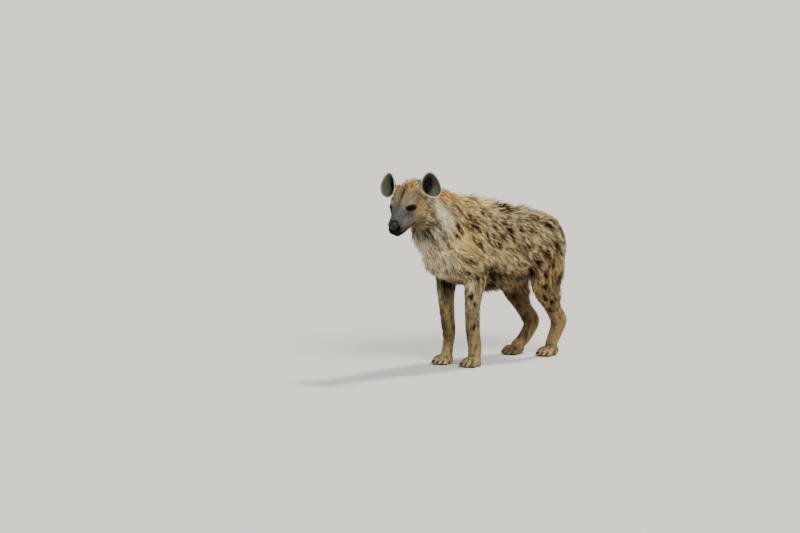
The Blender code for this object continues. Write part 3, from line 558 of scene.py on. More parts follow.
def ear_rings(side, shrink=0.0):
    """Rings of the cup from its rim to its floor."""
    rings = []
    for share in (1.0, 0.97, 0.9, 0.8, 0.68, 0.54, 0.38, 0.2):
        ring = []
        for angle in angles(RING_SIDES):
            out, up = math.cos(angle), math.sin(angle)
            width = (EAR_HALF_WIDTH - shrink) * share * (1 - 0.16 * up)
            lean = EAR_LEAN * share * (0.5 - up)
            back = -EAR_DEPTH * (1 - share**2.2) - 0.01 * share * max(0.0, up) ** 2
            back += 0.0016 * math.sin(7 * angle) * share * (1 - share) * 4
            ring.append(Vector((back, side * (width * out + lean), (EAR_HALF_HEIGHT - shrink) * share * up)))
        rings.append(ring)
    return rings


def ear_shell(side):
    rings = ear_rings(side)
    count = len(rings[0])
    bm = bmesh.new()
    verts = [[bm.verts.new(p) for p in ring] for ring in rings]
    for near, far in zip(verts, verts[1:]):
        for k in range(count):
            j = (k + 1) % count
            bm.faces.new((near[k], near[j], far[j], far[k]))
    bm.faces.new(verts[-1])
    bmesh.ops.recalc_face_normals(bm, faces=bm.faces)
    obj = placed(mesh_of(bm, "ear"))
    wall = obj.modifiers.new("wall", "SOLIDIFY")
    wall.thickness = EAR_WALL
    wall.offset = 0.0
    return moved(evaluated(obj), ear_frame(side))


def ear_hollow(side):
    return moved(loft(ear_rings(side, shrink=0.001)), ear_frame(side))


def ear_stalk(side):
    end = ear_frame(side) @ Vector((-0.036, -0.012 * side, -0.016))
    points = [(-0.09, 0.04 * side, 0.085), (-0.104, 0.068 * side, 0.108), tuple(end)]
    return spindle(points, (0.034, 0.036, 0.022))


def ear_ridges(side):
    """Folds inside the cup, from its floor towards the rim."""
    place = ear_frame(side)
    made = []
    for across, lean, reach in ((-0.016, -0.01, 0.03), (0.004, 0.002, 0.034), (0.022, 0.01, 0.02)):
        points = [
            Vector((-0.031, side * across, -0.03)),
            Vector((-0.027, side * (across + lean * 0.5), 0.0)),
            Vector((-0.018, side * (across + lean), reach)),
        ]
        made.append(moved(spindle(points, (0.0055, 0.004, 0.0012)), place))
    return made


def eye_turn(side):
    look = Vector((0.7, 0.68 * side, 0.12)).normalized()
    slit = square_to(Vector((0.62, -0.6 * side, -0.22)), look)
    return Matrix((look, slit, look.cross(slit))).transposed().to_4x4()


def eyeball(side, grow=0.0, sides=36):
    return ellipsoid(eye_centre(side), [EYE_RADIUS + grow] * 3, eye_turn(side), sides)


def face_muscles(side):
    brow = [(0.02, 0.036 * side, 0.09), (-0.002, 0.05 * side, 0.098), (-0.03, 0.062 * side, 0.096)]
    cheekbone = [(0.01, 0.046 * side, 0.056), (-0.03, 0.076 * side, 0.056), (-0.085, 0.086 * side, 0.062)]
    return [
        ellipsoid((-0.055, 0.06 * side, 0.04), (0.055, 0.034, 0.04)),
        ellipsoid((-0.07, 0.054 * side, -0.005), (0.052, 0.034, 0.048)),
        spindle(cheekbone, (0.012, 0.014, 0.012)),
        spindle(brow, (0.009, 0.011, 0.009)),
        ellipsoid((0.06, 0.025 * side, 0.024), (0.046, 0.019, 0.024)),
        ear_stalk(side),
    ]


def nostril(side):
    """The round opening and its slit to the side."""
    slit = [(0.128, 0.013 * side, 0.043), (0.118, 0.021 * side, 0.039), (0.104, 0.0265 * side, 0.037)]
    return [
        ellipsoid((0.133, 0.0115 * side, 0.045), (0.014, 0.0052, 0.006), sides=16),
        spindle(slit, (0.0036, 0.0026, 0.0008), sides=10),
    ]


def neck_end():
    """The last rings of the neck, narrower where they dive into the body's own neck."""
    rows = []
    for row, share in zip(NECK[3:], (0.72, 0.96, 1.0, 1.0)):
        rows.append((*row[:3], *(size * share for size in row[3:])))
    return moved(loft(rings_of(rows)), TO_HEAD)


def raw_head():
    """Skull, muzzle, cheeks, brows and lips, with the neck's end, in the head's frame."""
    rows = [(x, 0.0, z, w, up, down, full) for x, z, w, up, down, full in HEAD]
    pieces = [loft(rings_of(rows)), neck_end()]
    for side in (1, -1):
        pieces += face_muscles(side)
    pieces += [
        lip_rod(0.0065, 0.003, 0.0062),
        lip_rod(-0.007, 0.0045, 0.0056),
        ellipsoid((0.114, 0.0, 0.045), (0.016, 0.026, 0.019)),
        ellipsoid((0.085, 0.0, -0.014), (0.026, 0.022, 0.016)),
        spindle([(-0.15, 0, 0.128), (-0.1, 0, 0.14), (-0.045, 0, 0.124)], (0.02, 0.022, 0.016)),
    ]
    return collapse(blend(pieces, HEAD_VOXEL, 18), HEAD_TRIANGLES)


def face_cutters():
    cutters = [lip_rod(-0.0005, 0.001, 0.0015, 8), ear_hollow(1), ear_hollow(-1)]
    for side in (1, -1):
        opening = eye_centre(side) + eye_turn(side).to_3x3() @ Vector((EYE_RADIUS, 0.0, 0.0))
        cutters.append(ellipsoid(opening, (0.009, 0.0122, 0.0066), eye_turn(side), sides=32))
        cutters += nostril(side)
    groove = [(0.124, 0.0, 0.02), (0.126, 0.0, 0.012), (0.1225, 0.0, 0.002)]
    cutters.append(spindle(groove, (0.0016, 0.0016, 0.0014), 8))
    return cutters


def head_flesh(raw):
    """The head with lids, eye slits, mouth, nostrils and ear cups cut and set in it."""
    skin = combine(raw, [eyeball(side, LID_THICKNESS) for side in (1, -1)], "UNION")
    skin = combine(skin, face_cutters(), "DIFFERENCE")
    skin = combine(skin, [eyeball(side, 0.0002) for side in (1, -1)], "DIFFERENCE")
    skin = combine(skin, [ear_shell(side) for side in (1, -1)], "UNION")
    return combine(skin, ear_ridges(1) + ear_ridges(-1), "UNION")


# Fields over the body


class Bone:
    """A loft's path, for telling how far along it and how far out from it a point is."""

    def __init__(self, rows):
        rows = smooth_rows(rows, 8)
        self.centres = rows[:, :3]
        self.along = unit(np.gradient(self.centres, axis=0))
        self.radii = (rows[:, 3] * 2 + rows[:, 4] + rows[:, 5]) / 4
        steps = np.linalg.norm(np.diff(self.centres, axis=0), axis=1)
        reached = np.concatenate([[0.0], np.cumsum(steps)])
        self.shares = reached / reached[-1]

    def locate(self, points):
        """Nearest place of the path: distance in radii, share of the length, directions along and out."""
        level = (self.centres**2).sum(1)
        pick = np.empty(len(points), int)
        for start in range(0, len(points), 20000):
            part = points[start : start + 20000]
            pick[start : start + 20000] = (level - 2 * part @ self.centres.T).argmin(1)
        away = points - self.centres[pick]
        along = self.along[pick]
        ratio = np.linalg.norm(away, axis=1) / self.radii[pick]
        return ratio, self.shares[pick], along, unit(along_skin(away, along))


HINDLEG_RIGHT = leg_rows(-1)[1]
BONES = [Bone(rows) for rows in (TRUNK, NECK, FORELEG, FORELEG_RIGHT, HINDLEG, HINDLEG_RIGHT, TAIL)]
TRUNK_ID, NECK_ID, FORE_LEFT, FORE_RIGHT, HIND_LEFT = range(5)
HIND_RIGHT, TAIL_ID, HEAD_ID, EAR_LEFT, EAR_RIGHT = range(5, 10)
HEAD_TURN = np.array(TO_WORLD.to_3x3())
HEAD_PLACE = np.array(TO_WORLD.translation)
EARS = [np.array(TO_WORLD @ ear_frame(side)) for side in (1, -1)]


def in_head(points):
    return (points - HEAD_PLACE) @ HEAD_TURN


def in_ear(points, which):
    place = EARS[which]
    return (points - place[:3, 3]) @ place[:3, :3]


def in_eye(head, side):
    """Points of the head's frame in an eye's own frame."""
    return (head - np.array(eye_centre(side))) @ np.array(eye_turn(side).to_3x3())


def ear_middle(points, which):
    """Distance from the middle of the ear's opening, in shares of its outline."""
    _, y, z = in_ear(points, which).T
    up = z / EAR_HALF_HEIGHT
    share = np.hypot(y / EAR_HALF_WIDTH, up)
    up = up / np.maximum(share, 1e-6)
    side = 1 - 2 * which
    across = (y * side - EAR_LEAN * share * (0.5 - up)) / (EAR_HALF_WIDTH * (1 - 0.16 * up))
    return np.hypot(across, z / EAR_HALF_HEIGHT)


def ear_floor(points, which):
    """How far in the cup's inner face lies, over each point."""
    share = np.clip(ear_middle(points, which), 0.05, 1)
    up = np.clip(in_ear(points, which)[:, 2] / (EAR_HALF_HEIGHT * share), 0, 1)
    return -EAR_DEPTH * (1 - share**2.2) - 0.01 * share * up**2


# Degrees from the top of the back at which the crest ends, and up to which it is full
CREST_END = 38
CREST_FULL = 18


class Fields:
    """What the coat needs to know at each of a set of points: its region and how it lies there."""

    def __init__(self, points, normals):
        count = len(points)
        self.points = points
        self.head = in_head(points)
        ratios = np.empty((count, 10))
        shares, lies, turns = [], [], []
        down = np.array([0.0, 0.0, -1.0])
        for i, bone in enumerate(BONES):
            ratio, share, along, out = bone.locate(points)
            height = np.clip(out[:, 2], -1, 1)
            around = unit(along_skin(down, out))
            turn = np.degrees(np.arccos(height))
            if i in (TRUNK_ID, NECK_ID):
                lean = np.clip(turn / 55, 0, 1) * np.where(turn < 120, 0.85, 0.45)
                lie = -along + around * lean[:, None]
            else:
                lie = along + np.array([-0.18, 0.0, 0.0])
            if i in (FORE_LEFT, FORE_RIGHT):
                ratio = ratio + np.clip(points[:, 2] - 0.5, 0, None) * 14
            if i in (HIND_LEFT, HIND_RIGHT):
                ratio = ratio + np.clip(points[:, 2] - 0.52, 0, None) * 10
            if i == TAIL_ID:
                ratio = ratio + np.clip(points[:, 0] + 0.435, 0, None) * 30
            ratios[:, i] = ratio
            shares.append(share)
            lies.append(unit(lie))
            turns.append(turn)
        self.shares = np.array(shares)
        self.head_lie(lies)
        nearest = ratios[:, :7].min(1)
        below = np.clip(-0.075 - self.head[:, 2], 0, None)
        ratios[:, HEAD_ID] = nearest - (self.head[:, 0] + 0.118) / 0.06 + below * 60
        for which in (0, 1):
            forward = in_ear(points, which)[:, 0]
            depth = forward - ear_floor(points, which)
            cup = (depth > -0.011) & (forward < 0.014) & (ear_middle(points, which) < 1.12)
            ratios[:, EAR_LEFT + which] = np.where(cup, -20.0, 50.0)
        weights = np.exp(-(ratios - ratios.min(1)[:, None]) * 5)
        self.weights = weights / weights.sum(1)[:, None]
        self.region = ratios.argmin(1)
        lie = (np.array(lies) * self.weights.T[:, :, None]).sum(0)
        self.lie = unit(along_skin(lie, normals))
        trunk = self.weights[:, TRUNK_ID]
        self.turn = turns[TRUNK_ID] * trunk + turns[NECK_ID] * (1 - trunk)
        self.normals = normals

    def head_lie(self, lies):
        """The head's coat runs back from the nose, out over the cheeks and down; an ear's runs to its tip."""
        x, y, z = self.head.T
        lie = np.stack([np.full(len(x), -1.0), y * 5.0, np.where(z < 0.05, -0.35, 0.12)], 1)
        behind = smooth_step(-x, 0.02, 0.1)
        lie[:, 2] -= behind * 0.5 * (np.abs(y) > 0.03)
        lies.append(unit(lie @ HEAD_TURN.T))
        for which in (0, 1):
            local = in_ear(self.points, which)
            fan = np.stack([np.zeros(len(x)), local[:, 1] * 9, np.full(len(x), 1.0)], 1)
            lies.append(unit(fan @ EARS[which][:3, :3].T))

    def by_region(self, values):
        """A blend of per-region values, each a number or an array."""
        total = np.zeros(len(self.points))
        for i, value in enumerate(values):
            total += self.weights[:, i] * value
        return total


def crest(fields):
    """How much a point belongs to the crest of the mane, from 0 to 1."""
    on = smooth_step(fields.turn, CREST_END, CREST_FULL)
    return on * (fields.region <= NECK_ID) * (fields.points[:, 2] > 0.6)


def thigh_fringe(fields):
    """The long hair down the back of a thigh, from 0 to 1."""
    z = fields.points[:, 2]
    behind = smooth_step(-fields.normals[:, 0], 0.15, 0.75) * (fields.points[:, 0] < -0.2)
    return behind * smooth_step(z, 0.255, 0.33) * smooth_step(z, 0.6, 0.5)


def throat_ruff(fields):
    """The loose hair under the neck and on the breast, from 0 to 1."""
    x, _, z = fields.points.T
    facing = smooth_step(fields.normals[:, 0] - fields.normals[:, 2], 0.3, 1.0)
    return facing * smooth_step(x, 0.38, 0.46) * (smooth_step(z, 0.47, 0.54) * smooth_step(z, 0.8, 0.7))


def crown(fields):
    """The tuft between the ears, from 0 to 1."""
    hx, hy, hz = fields.head.T
    return np.exp(-((hx + 0.105) ** 2 / 0.03**2 + hy**2 / 0.04**2)) * (hz > 0.1)


def ear_room(fields, length):
    """Shortens hair that would run through an ear."""
    room = np.ones(len(fields.points))
    for reach, rise in ((0.5, 0.004), (1.0, 0.004), (0.6, 0.016), (1.0, 0.026)):
        ends = fields.points + fields.lie * (length * reach)[:, None] + fields.normals * rise
        for which in (0, 1):
            through = (ear_middle(ends, which) < 0.99) & (np.abs(in_ear(ends, which)[:, 0]) < 0.034)
            outside = fields.weights[:, EAR_LEFT + which] < 0.5
            room = np.where(through & outside, 0.25, room)
    return length * room


def coat_length(fields):
    """Length of the coat's hair, drawn out along the skin."""
    x, _, z = fields.points.T
    hx, _, hz = fields.head.T
    top = crest(fields)
    trunk = np.interp(x, (-0.43, -0.35, -0.1, 0.25, 0.45), (0.05, 0.042, 0.046, 0.048, 0.046))
    trunk = trunk * np.interp(fields.turn, (0, 60, 120, 180), (0.95, 1.0, 1.0, 1.15))
    mane = np.interp(x, (-0.4, -0.26, -0.05, 0.2, 0.4), (0.036, 0.042, 0.07, 0.078, 0.086))
    trunk = trunk * (1 - top) + mane * top
    neck = 0.044 * (1 - top) + 0.088 * top
    ruff = 1 + 0.45 * throat_ruff(fields)
    neck, trunk = neck * ruff, trunk * ruff
    fore = np.interp(z, (0.0, 0.05, 0.15, 0.35, 0.5), (0.007, 0.008, 0.012, 0.02, 0.034))
    hind = np.interp(z, (0.0, 0.05, 0.16, 0.3, 0.45, 0.55), (0.007, 0.008, 0.012, 0.018, 0.028, 0.036))
    hind = hind * (1 + 1.1 * thigh_fringe(fields))
    tail = np.interp(fields.shares[TAIL_ID], (0.0, 0.3, 0.55, 1.0), (0.038, 0.045, 0.085, 0.09))
    steps = (-0.13, -0.09, -0.04, 0.0, 0.04, 0.07, 0.12)
    face = np.interp(hx, steps, (0.036, 0.026, 0.016, 0.011, 0.008, 0.006, 0.0045))
    low_cheek = smooth_step(0.03 - hz, 0.0, 0.05) * smooth_step(-hx, -0.03, 0.05)
    face = face * (1 + 0.35 * low_cheek)
    face = np.maximum(face, 0.046 * crown(fields))
    eyes = np.full(len(x), 1.0)
    for side in (1, -1):
        gap = np.linalg.norm(fields.head - np.array(eye_centre(side)), axis=1)
        eyes = np.minimum(eyes, smooth_step(gap, 0.012, 0.034) * 0.7 + 0.3)
    face = face * eyes
    ears = []
    for which in (0, 1):
        rim = smooth_step(ear_middle(fields.points, which), 0.88, 0.96)
        ears.append(0.006 + 0.0035 * rim)
    return ear_room(fields, fields.by_region((trunk, neck, fore, fore, hind, hind, tail, face, *ears)))


def coat_lift(fields, length):
    """Height of a tuft's tip above the skin."""
    top = crest(fields)
    plain = length * 0.2 + 0.0012
    high = length * np.interp(fields.points[:, 0], (-0.3, -0.1), (0.3, 0.46))
    lift = plain * (1 - top) + high * top
    under = smooth_step(fields.turn, 125, 160) * fields.weights[:, TRUNK_ID]
    under = under * smooth_step(fields.points[:, 0], 0.25, 0.15)
    lift = lift * (1 + 1.5 * under)
    lift = np.maximum(lift, 0.024 * crown(fields))
    lift = lift + 0.012 * thigh_fringe(fields) * fields.weights[:, HIND_LEFT : HIND_RIGHT + 1].sum(1)
    lift = lift + 0.018 * throat_ruff(fields) * (1 - fields.weights[:, HEAD_ID:].sum(1))
    brush = fields.weights[:, TAIL_ID] * smooth_step(fields.shares[TAIL_ID], 0.35, 0.6)
    return lift * (1 + 0.25 * brush)


def coat_depth(fields):
    """How deep the skin lies under the solids' flesh, so that the coat's mass stands at their surface."""
    return np.clip(coat_length(fields) * 0.17, 0.0004, 0.0085)


def sunk(mesh):
    """The skin, moved in by the coat's depth."""
    points = coords(mesh)
    normals = vertex_normals(mesh)
    points -= normals * coat_depth(Fields(points, normals))[:, None]
    points[:, 2] = np.maximum(points[:, 2], 0.0006)
    set_coords(mesh, points)
    return mesh


# Colours of the coat

COLOURS = {
    "back": srgb(204, 182, 138),
    "flank": srgb(214, 190, 138),
    # The underside's colour, darkened with painted shade
    "shaded_belly": srgb(144, 123, 80),
    "neck": srgb(216, 186, 138),
    "foreleg": srgb(164, 143, 97),
    "hindleg": srgb(170, 143, 95),
    "tail": srgb(104, 84, 54),
    "brush": srgb(20, 17, 15),
    "face": srgb(136, 119, 84),
    "ear": srgb(120, 104, 78),
    "ear_inside": srgb(84, 85, 69),
    "ear_deep": srgb(12, 11, 10),
    # The ears' pale edge: painted rim light
    "rim": srgb(236, 228, 204),
    "spot": srgb(30, 20, 12),
    "dark": srgb(14, 12, 11),
    "muzzle": srgb(72, 84, 86),
    "cream": srgb(255, 250, 214),
    "orange": srgb(226, 172, 98),
    "sand": srgb(232, 210, 166),
    "grey": srgb(168, 160, 130),
    "chest": srgb(236, 225, 190),
    "brown": srgb(62, 46, 28),
    "soot": srgb(50, 51, 47),
    "umber": srgb(44, 33, 22),
    "ochre": srgb(150, 122, 78),
    "gold": srgb(252, 211, 138),
    "blue": srgb(100, 115, 121),
    "pale": srgb(150, 152, 138),
}

# Tints: place, reach, colour, strength. These are repeated on the right side.
TINTS = (
    ((0.54, -0.01, 0.65), (0.08, 0.09, 0.06), "grey", 0.7),
    # Pale chest fur, made paler at the front as painted rim light
    ((0.53, 0.04, 0.64), (0.06, 0.08, 0.08), "chest", 0.4),
    ((0.45, 0.0, 0.52), (0.07, 0.11, 0.1), "chest", 0.85),
    ((0.4, 0.08, 0.44), (0.05, 0.06, 0.05), "chest", 0.5),
    ((0.566, 0.097, 0.842), (0.03, 0.055, 0.03), "cream", 1.05),
    ((0.526, 0.098, 0.798), (0.04, 0.06, 0.036), "cream", 1.2),
    ((0.49, 0.1, 0.756), (0.036, 0.06, 0.036), "cream", 1.15),
    ((0.456, 0.11, 0.716), (0.028, 0.06, 0.036), "cream", 0.75),
    ((0.5, 0.09, 0.7), (0.05, 0.06, 0.06), "chest", 0.45),
    ((0.345, 0.12, 0.65), (0.08, 0.06, 0.12), "gold", 0.95),
    ((0.31, 0.13, 0.53), (0.065, 0.055, 0.075), "gold", 0.8),
    ((0.2, 0.06, 0.8), (0.12, 0.07, 0.05), "gold", 0.6),
    ((-0.24, 0.14, 0.44), (0.06, 0.06, 0.09), "gold", 0.45),
    # Painted light behind the cheek, over the cream fur there, lifting the shade under the cheek's hair
    ((0.606, 0.09, 0.82), (0.03, 0.05, 0.055), "sand", 0.9),
    ((0.4, 0.05, 0.875), (0.13, 0.065, 0.06), "orange", 1.1),
    # Painted rim light along the rump's back edge
    ((-0.41, 0.06, 0.58), (0.04, 0.08, 0.1), "sand", 0.85),
    ((0.33, 0.12, 0.405), (0.055, 0.06, 0.11), "sand", 1.0),
    ((-0.24, 0.09, 0.68), (0.07, 0.08, 0.05), "ochre", 0.5),
    ((-0.05, 0.11, 0.64), (0.11, 0.06, 0.07), "ochre", 0.35),
    ((0.312, 0.072, 0.165), (0.014, 0.035, 0.045), "umber", 0.7),
    ((-0.262, 0.125, 0.24), (0.03, 0.055, 0.05), "umber", 0.55),
    ((-0.305, 0.095, 0.155), (0.03, 0.055, 0.06), "umber", 0.5),
    ((-0.285, 0.095, 0.058), (0.026, 0.055, 0.032), "umber", 0.45),
    ((-0.345, 0.09, 0.45), (0.03, 0.06, 0.1), "sand", 0.55),
    ((-0.3, 0.05, 0.71), (0.07, 0.05, 0.022), "sand", 0.6),
    # Painted shade: dark brown behind the elbow, low on the flank, in the fold before the thigh and under the
    # trunk
    ((0.16, 0.11, 0.445), (0.06, 0.06, 0.04), "brown", 0.85),
    ((0.06, 0.08, 0.42), (0.08, 0.06, 0.035), "brown", 0.45),
    ((-0.145, 0.08, 0.43), (0.03, 0.05, 0.06), "brown", 0.8),
    ((0.08, 0.0, 0.37), (0.16, 0.08, 0.03), "brown", 0.7),
)
# Tints of the right legs alone: painted shade on these far legs, which stand in shadow
RIGHT_SHADE_TINTS = (
    # Painted armpit shadow over dark fur, high on the right foreleg
    ((0.305, -0.07, 0.398), (0.052, 0.06, 0.048), "spot", 0.97),
    ((0.3, -0.065, 0.34), (0.04, 0.05, 0.06), "soot", 0.4),
    ((0.298, -0.09, 0.19), (0.022, 0.035, 0.055), "umber", 0.65),
    ((0.285, -0.068, 0.13), (0.025, 0.035, 0.045), "umber", 0.55),
    ((-0.212, -0.078, 0.292), (0.046, 0.055, 0.034), "spot", 0.95),
    ((-0.245, -0.077, 0.24), (0.036, 0.055, 0.045), "umber", 0.75),
    ((-0.29, -0.086, 0.175), (0.036, 0.055, 0.055), "umber", 0.6),
    ((-0.275, -0.07, 0.095), (0.036, 0.055, 0.05), "umber", 0.6),
    ((-0.19, -0.06, 0.025), (0.07, 0.07, 0.03), "umber", 0.75),
)
# Tints in the head's frame, repeated on its right side
HEAD_TINTS = (
    ((-0.05, 0.088, 0.055), (0.05, 0.045, 0.04), "orange", 0.55),
    ((-0.02, 0.03, 0.1), (0.06, 0.03, 0.04), "grey", 0.55),
    # Painted light behind the cheek, over cream fur, lifting the shade under the cheek's hair
    ((-0.1, 0.07, 0.0), (0.04, 0.05, 0.065), "sand", 0.9),
    ((-0.11, 0.0, 0.15), (0.05, 0.034, 0.04), "orange", 0.9),
    ((-0.04, 0.0, 0.125), (0.052, 0.009, 0.07), "umber", 1.0),
    ((-0.118, 0.0, 0.155), (0.032, 0.05, 0.05), "gold", 1.0),
    ((0.06, 0.0, 0.06), (0.066, 0.06, 0.05), "muzzle", 1.0),
    ((0.04, 0.045, 0.045), (0.044, 0.034, 0.036), "muzzle", 0.85),
    ((0.03, 0.052, 0.066), (0.034, 0.03, 0.02), "soot", 0.75),
    ((0.02, 0.0, 0.1), (0.036, 0.014, 0.03), "soot", 0.6),
    ((0.066, 0.0, 0.085), (0.034, 0.018, 0.03), "blue", 0.75),
    ((0.054, 0.044, 0.03), (0.02, 0.02, 0.018), "pale", 0.6),
    ((0.051, 0.044, 0.026), (0.009, 0.02, 0.009), "soot", 0.8),
    ((0.06, 0.0, -0.034), (0.1, 0.07, 0.032), "dark", 1.2),
    ((0.122, 0.0, 0.015), (0.042, 0.06, 0.06), "dark", 1.35),
)
# Spots seen in the photograph: place, and half their length
SPOTS = (
    (0.409, 0.12, 0.707, 0.016), (0.42, 0.117, 0.662, 0.013), (0.321, 0.101, 0.752, 0.016),
    (0.3, 0.122, 0.697, 0.018), (0.222, 0.106, 0.759, 0.017), (0.04, 0.062, 0.76, 0.04),
    (0.005, 0.055, 0.758, 0.038),
    (-0.171, 0.086, 0.691, 0.02), (-0.251, 0.121, 0.656, 0.017), (-0.361, 0.116, 0.596, 0.013),
    (-0.05, 0.135, 0.666, 0.017), (0.038, 0.127, 0.653, 0.018), (0.104, 0.133, 0.63, 0.016),
    (0.34, 0.139, 0.532, 0.016), (0.183, 0.117, 0.475, 0.02), (0.12, 0.067, 0.401, 0.022),
    (0.221, 0.131, 0.655, 0.015), (0.152, 0.123, 0.683, 0.016), (0.275, 0.14, 0.611, 0.014),
    (0.143, 0.141, 0.594, 0.015), (0.03, 0.147, 0.614, 0.016), (0.317, 0.125, 0.639, 0.014),
    (-0.297, 0.136, 0.55, 0.022), (-0.216, 0.139, 0.518, 0.022), (-0.175, 0.129, 0.476, 0.021),
    (-0.15, 0.094, 0.435, 0.022), (-0.251, 0.148, 0.459, 0.013), (-0.202, 0.145, 0.41, 0.014),
    (-0.203, 0.144, 0.359, 0.014), (-0.211, 0.13, 0.297, 0.014), (-0.256, 0.137, 0.278, 0.012),
    (-0.268, 0.115, 0.236, 0.01), (-0.3, 0.144, 0.395, 0.01), (0.342, 0.113, 0.47, 0.014),
    (0.298, 0.134, 0.447, 0.013), (0.321, 0.114, 0.353, 0.014), (0.306, 0.123, 0.318, 0.008),
    (0.302, 0.116, 0.205, 0.011),
)


def mixed(base, colour, amount):
    """The base, one colour or one for each point, turned to a named colour by an amount for each point."""
    return base + (COLOURS[colour] - base) * amount[:, None]


def tint(colour, points, tints, sides):
    """Soft patches of other colours. A patch at the middle isn't repeated on the other side."""
    for place, reach, name, strength in tints:
        for mirror in sides:
            if mirror < 0 and abs(place[1]) < 0.02:
                continue
            centre = np.array([place[0], place[1] * mirror, place[2]])
            gap = (((points - centre) / np.array(reach)) ** 2).sum(1)
            colour = mixed(colour, name, np.minimum(strength * np.exp(-gap), 0.97))
    return colour


# Streaks of the coat: step along the lie, width, seed, strength
STREAK_LAYERS = ((0.01, 0.0068, 17, 1.0), (0.015, 0.013, 23, 0.7))


def streaks(points, lies):
    """Long streaks along the lie of the coat, from about -1 to 1."""
    total = np.zeros(len(points))
    for reach, size, seed, share in STREAK_LAYERS:
        for step in (-2, -1, 0, 1, 2):
            total += share * wobble(points + lies * (step * reach), size, seed, 9)
    return total / 2.9


SPOT_ALONG = 1.5
SPOT_ACROSS = 0.95


def spot_amount(points, spots, lies, normals):
    """How much a point lies in a spot, from 0 to 1. A spot is longer along the coat's lie than across it."""
    amount = np.zeros(len(points))
    edge = 0.3 * wobble(points, 0.014, 5) + 0.3 * wobble(points, 0.006, 6)
    for x, y, z, half, strength in spots:
        gap = points - np.array([x, y, z])
        near = np.nonzero((np.abs(gap) < half * 3.2).all(1))[0]
        if not len(near):
            continue
        along = dot(gap[near], lies[near])[:, 0]
        off = dot(gap[near], normals[near])[:, 0]
        across = np.sqrt(np.maximum((gap[near] ** 2).sum(1) - along**2 - off**2, 0))
        distance = np.hypot(along / (half * SPOT_ALONG), across / (half * SPOT_ACROSS)) + edge[near]
        amount[near] = np.maximum(amount[near], strength * smooth_step(distance, 1.25, 0.7))
    return amount


def eye_patch(head):
    """How much a point lies in the black round an eye, from 0 to 1: a level band, longer than the slit."""
    amount = np.zeros(len(head))
    for side in (1, -1):
        look = Vector(eye_turn(side).col[0][:3])
        band = square_to(Vector((0.55, -0.66 * side, 0.2)), look)
        gap = head - np.array(eye_centre(side))
        along = gap @ np.array(band) + 0.002
        over = gap @ np.array(look.cross(band)) + 0.001
        distance = np.hypot(along / 0.031, over / 0.0165)
        near = np.abs(gap @ np.array(look)) < 0.045
        amount = np.maximum(amount, smooth_step(distance, 1.12, 0.84) * near)
    return amount


def ear_colour(points, normals, which):
    """Brown behind, grey inside round a black middle, with a pale rim that is painted rim light."""
    x, y, z = in_ear(points, which).T
    side = 1 - 2 * which
    cup = (x > ear_floor(points, which) + 0.0004) & (ear_middle(points, which) < 0.9)
    inside = np.maximum(smooth_step(normals @ EARS[which][:3, 0], 0.0, 0.35), cup)
    deep = np.exp(-(((y * side + 0.014) / 0.024) ** 2 + ((z + 0.004) / 0.046) ** 2))
    colour = mixed(COLOURS["ear"], "ear_inside", inside)
    colour = mixed(colour, "ear_deep", inside * np.clip(deep * 1.7, 0, 1))
    # Painted rim light along the ear's edge
    return mixed(colour, "rim", smooth_step(ear_middle(points, which), 0.92, 0.985) * 0.95)


def coat_colour(fields, points, spots):
    """The coat's colour at these points, whose regions and lies the fields give."""
    side = smooth_step(fields.turn, 25, 75)
    low = smooth_step(fields.turn, 105, 150)
    # Towards the underside the trunk darkens: painted shade
    trunk = mixed(mixed(COLOURS["back"], "flank", side), "shaded_belly", low)
    neck = mixed(COLOURS["neck"], "grey", low)
    tail = mixed(COLOURS["tail"], "brush", smooth_step(fields.shares[TAIL_ID], 0.3, 0.5))
    toes = smooth_step(points[:, 2], 0.045, 0.015)[:, None]
    fore = COLOURS["foreleg"] * (1 + toes * 0.42)
    hind = COLOURS["hindleg"] * (1 + toes * 0.22)
    in_front = in_head(points)
    head = tint(COLOURS["face"], in_front, HEAD_TINTS, (1, -1))
    head = mixed(head, "dark", eye_patch(in_front) * 0.95)
    ears = [ear_colour(points, fields.normals, which) for which in (0, 1)]
    layers = (trunk, neck, fore, fore, hind, hind, tail, head, *ears)
    colour = np.zeros((len(points), 3))
    for i, layer in enumerate(layers):
        colour += fields.weights[:, i, None] * layer
    for which in (0, 1):
        forward, floor = in_ear(points, which)[:, 0], ear_floor(points, which)
        cup = (ear_middle(points, which) < 0.9) & (np.abs(forward - 0.5 * floor) < 0.022)
        cup = cup & (forward > floor - 0.002)
        colour = np.where(cup[:, None], ears[which], colour)
    behind = smooth_step(-in_front[:, 0], 0.1, 0.125)
    body = 1 - fields.weights[:, HEAD_ID:].sum(1) * (1 - behind)
    tinted = tint(colour, points, TINTS, (1, -1))
    # The right legs take painted shade from their own tints
    tinted = tint(tinted, points, RIGHT_SHADE_TINTS, (1,))
    colour = colour + (tinted - colour) * body[:, None]
    amount = spot_amount(points, spots, fields.lie, fields.normals) * body
    colour = mixed(colour, "spot", amount * 0.96)
    drift = 1 + 0.1 * wobble(points, 0.06, 9)
    limbs = fields.weights[:, FORE_LEFT : HIND_RIGHT + 1].sum(1)
    mottle = smooth_step(wobble(points * np.array([1.0, 1.0, 0.55]), 0.016, 13, 9), 0.15, 1.1)
    fine = wobble(points, 0.0075, 29, 9) * smooth_step(points[:, 2], 0.22, 0.1)
    drift = drift * (1 + 0.24 * fine * limbs)
    drift = drift * (1 - mottle * limbs * np.interp(points[:, 2], (0.2, 0.4), (0.55, 0.3)))
    return colour * drift[:, None]


# The coat

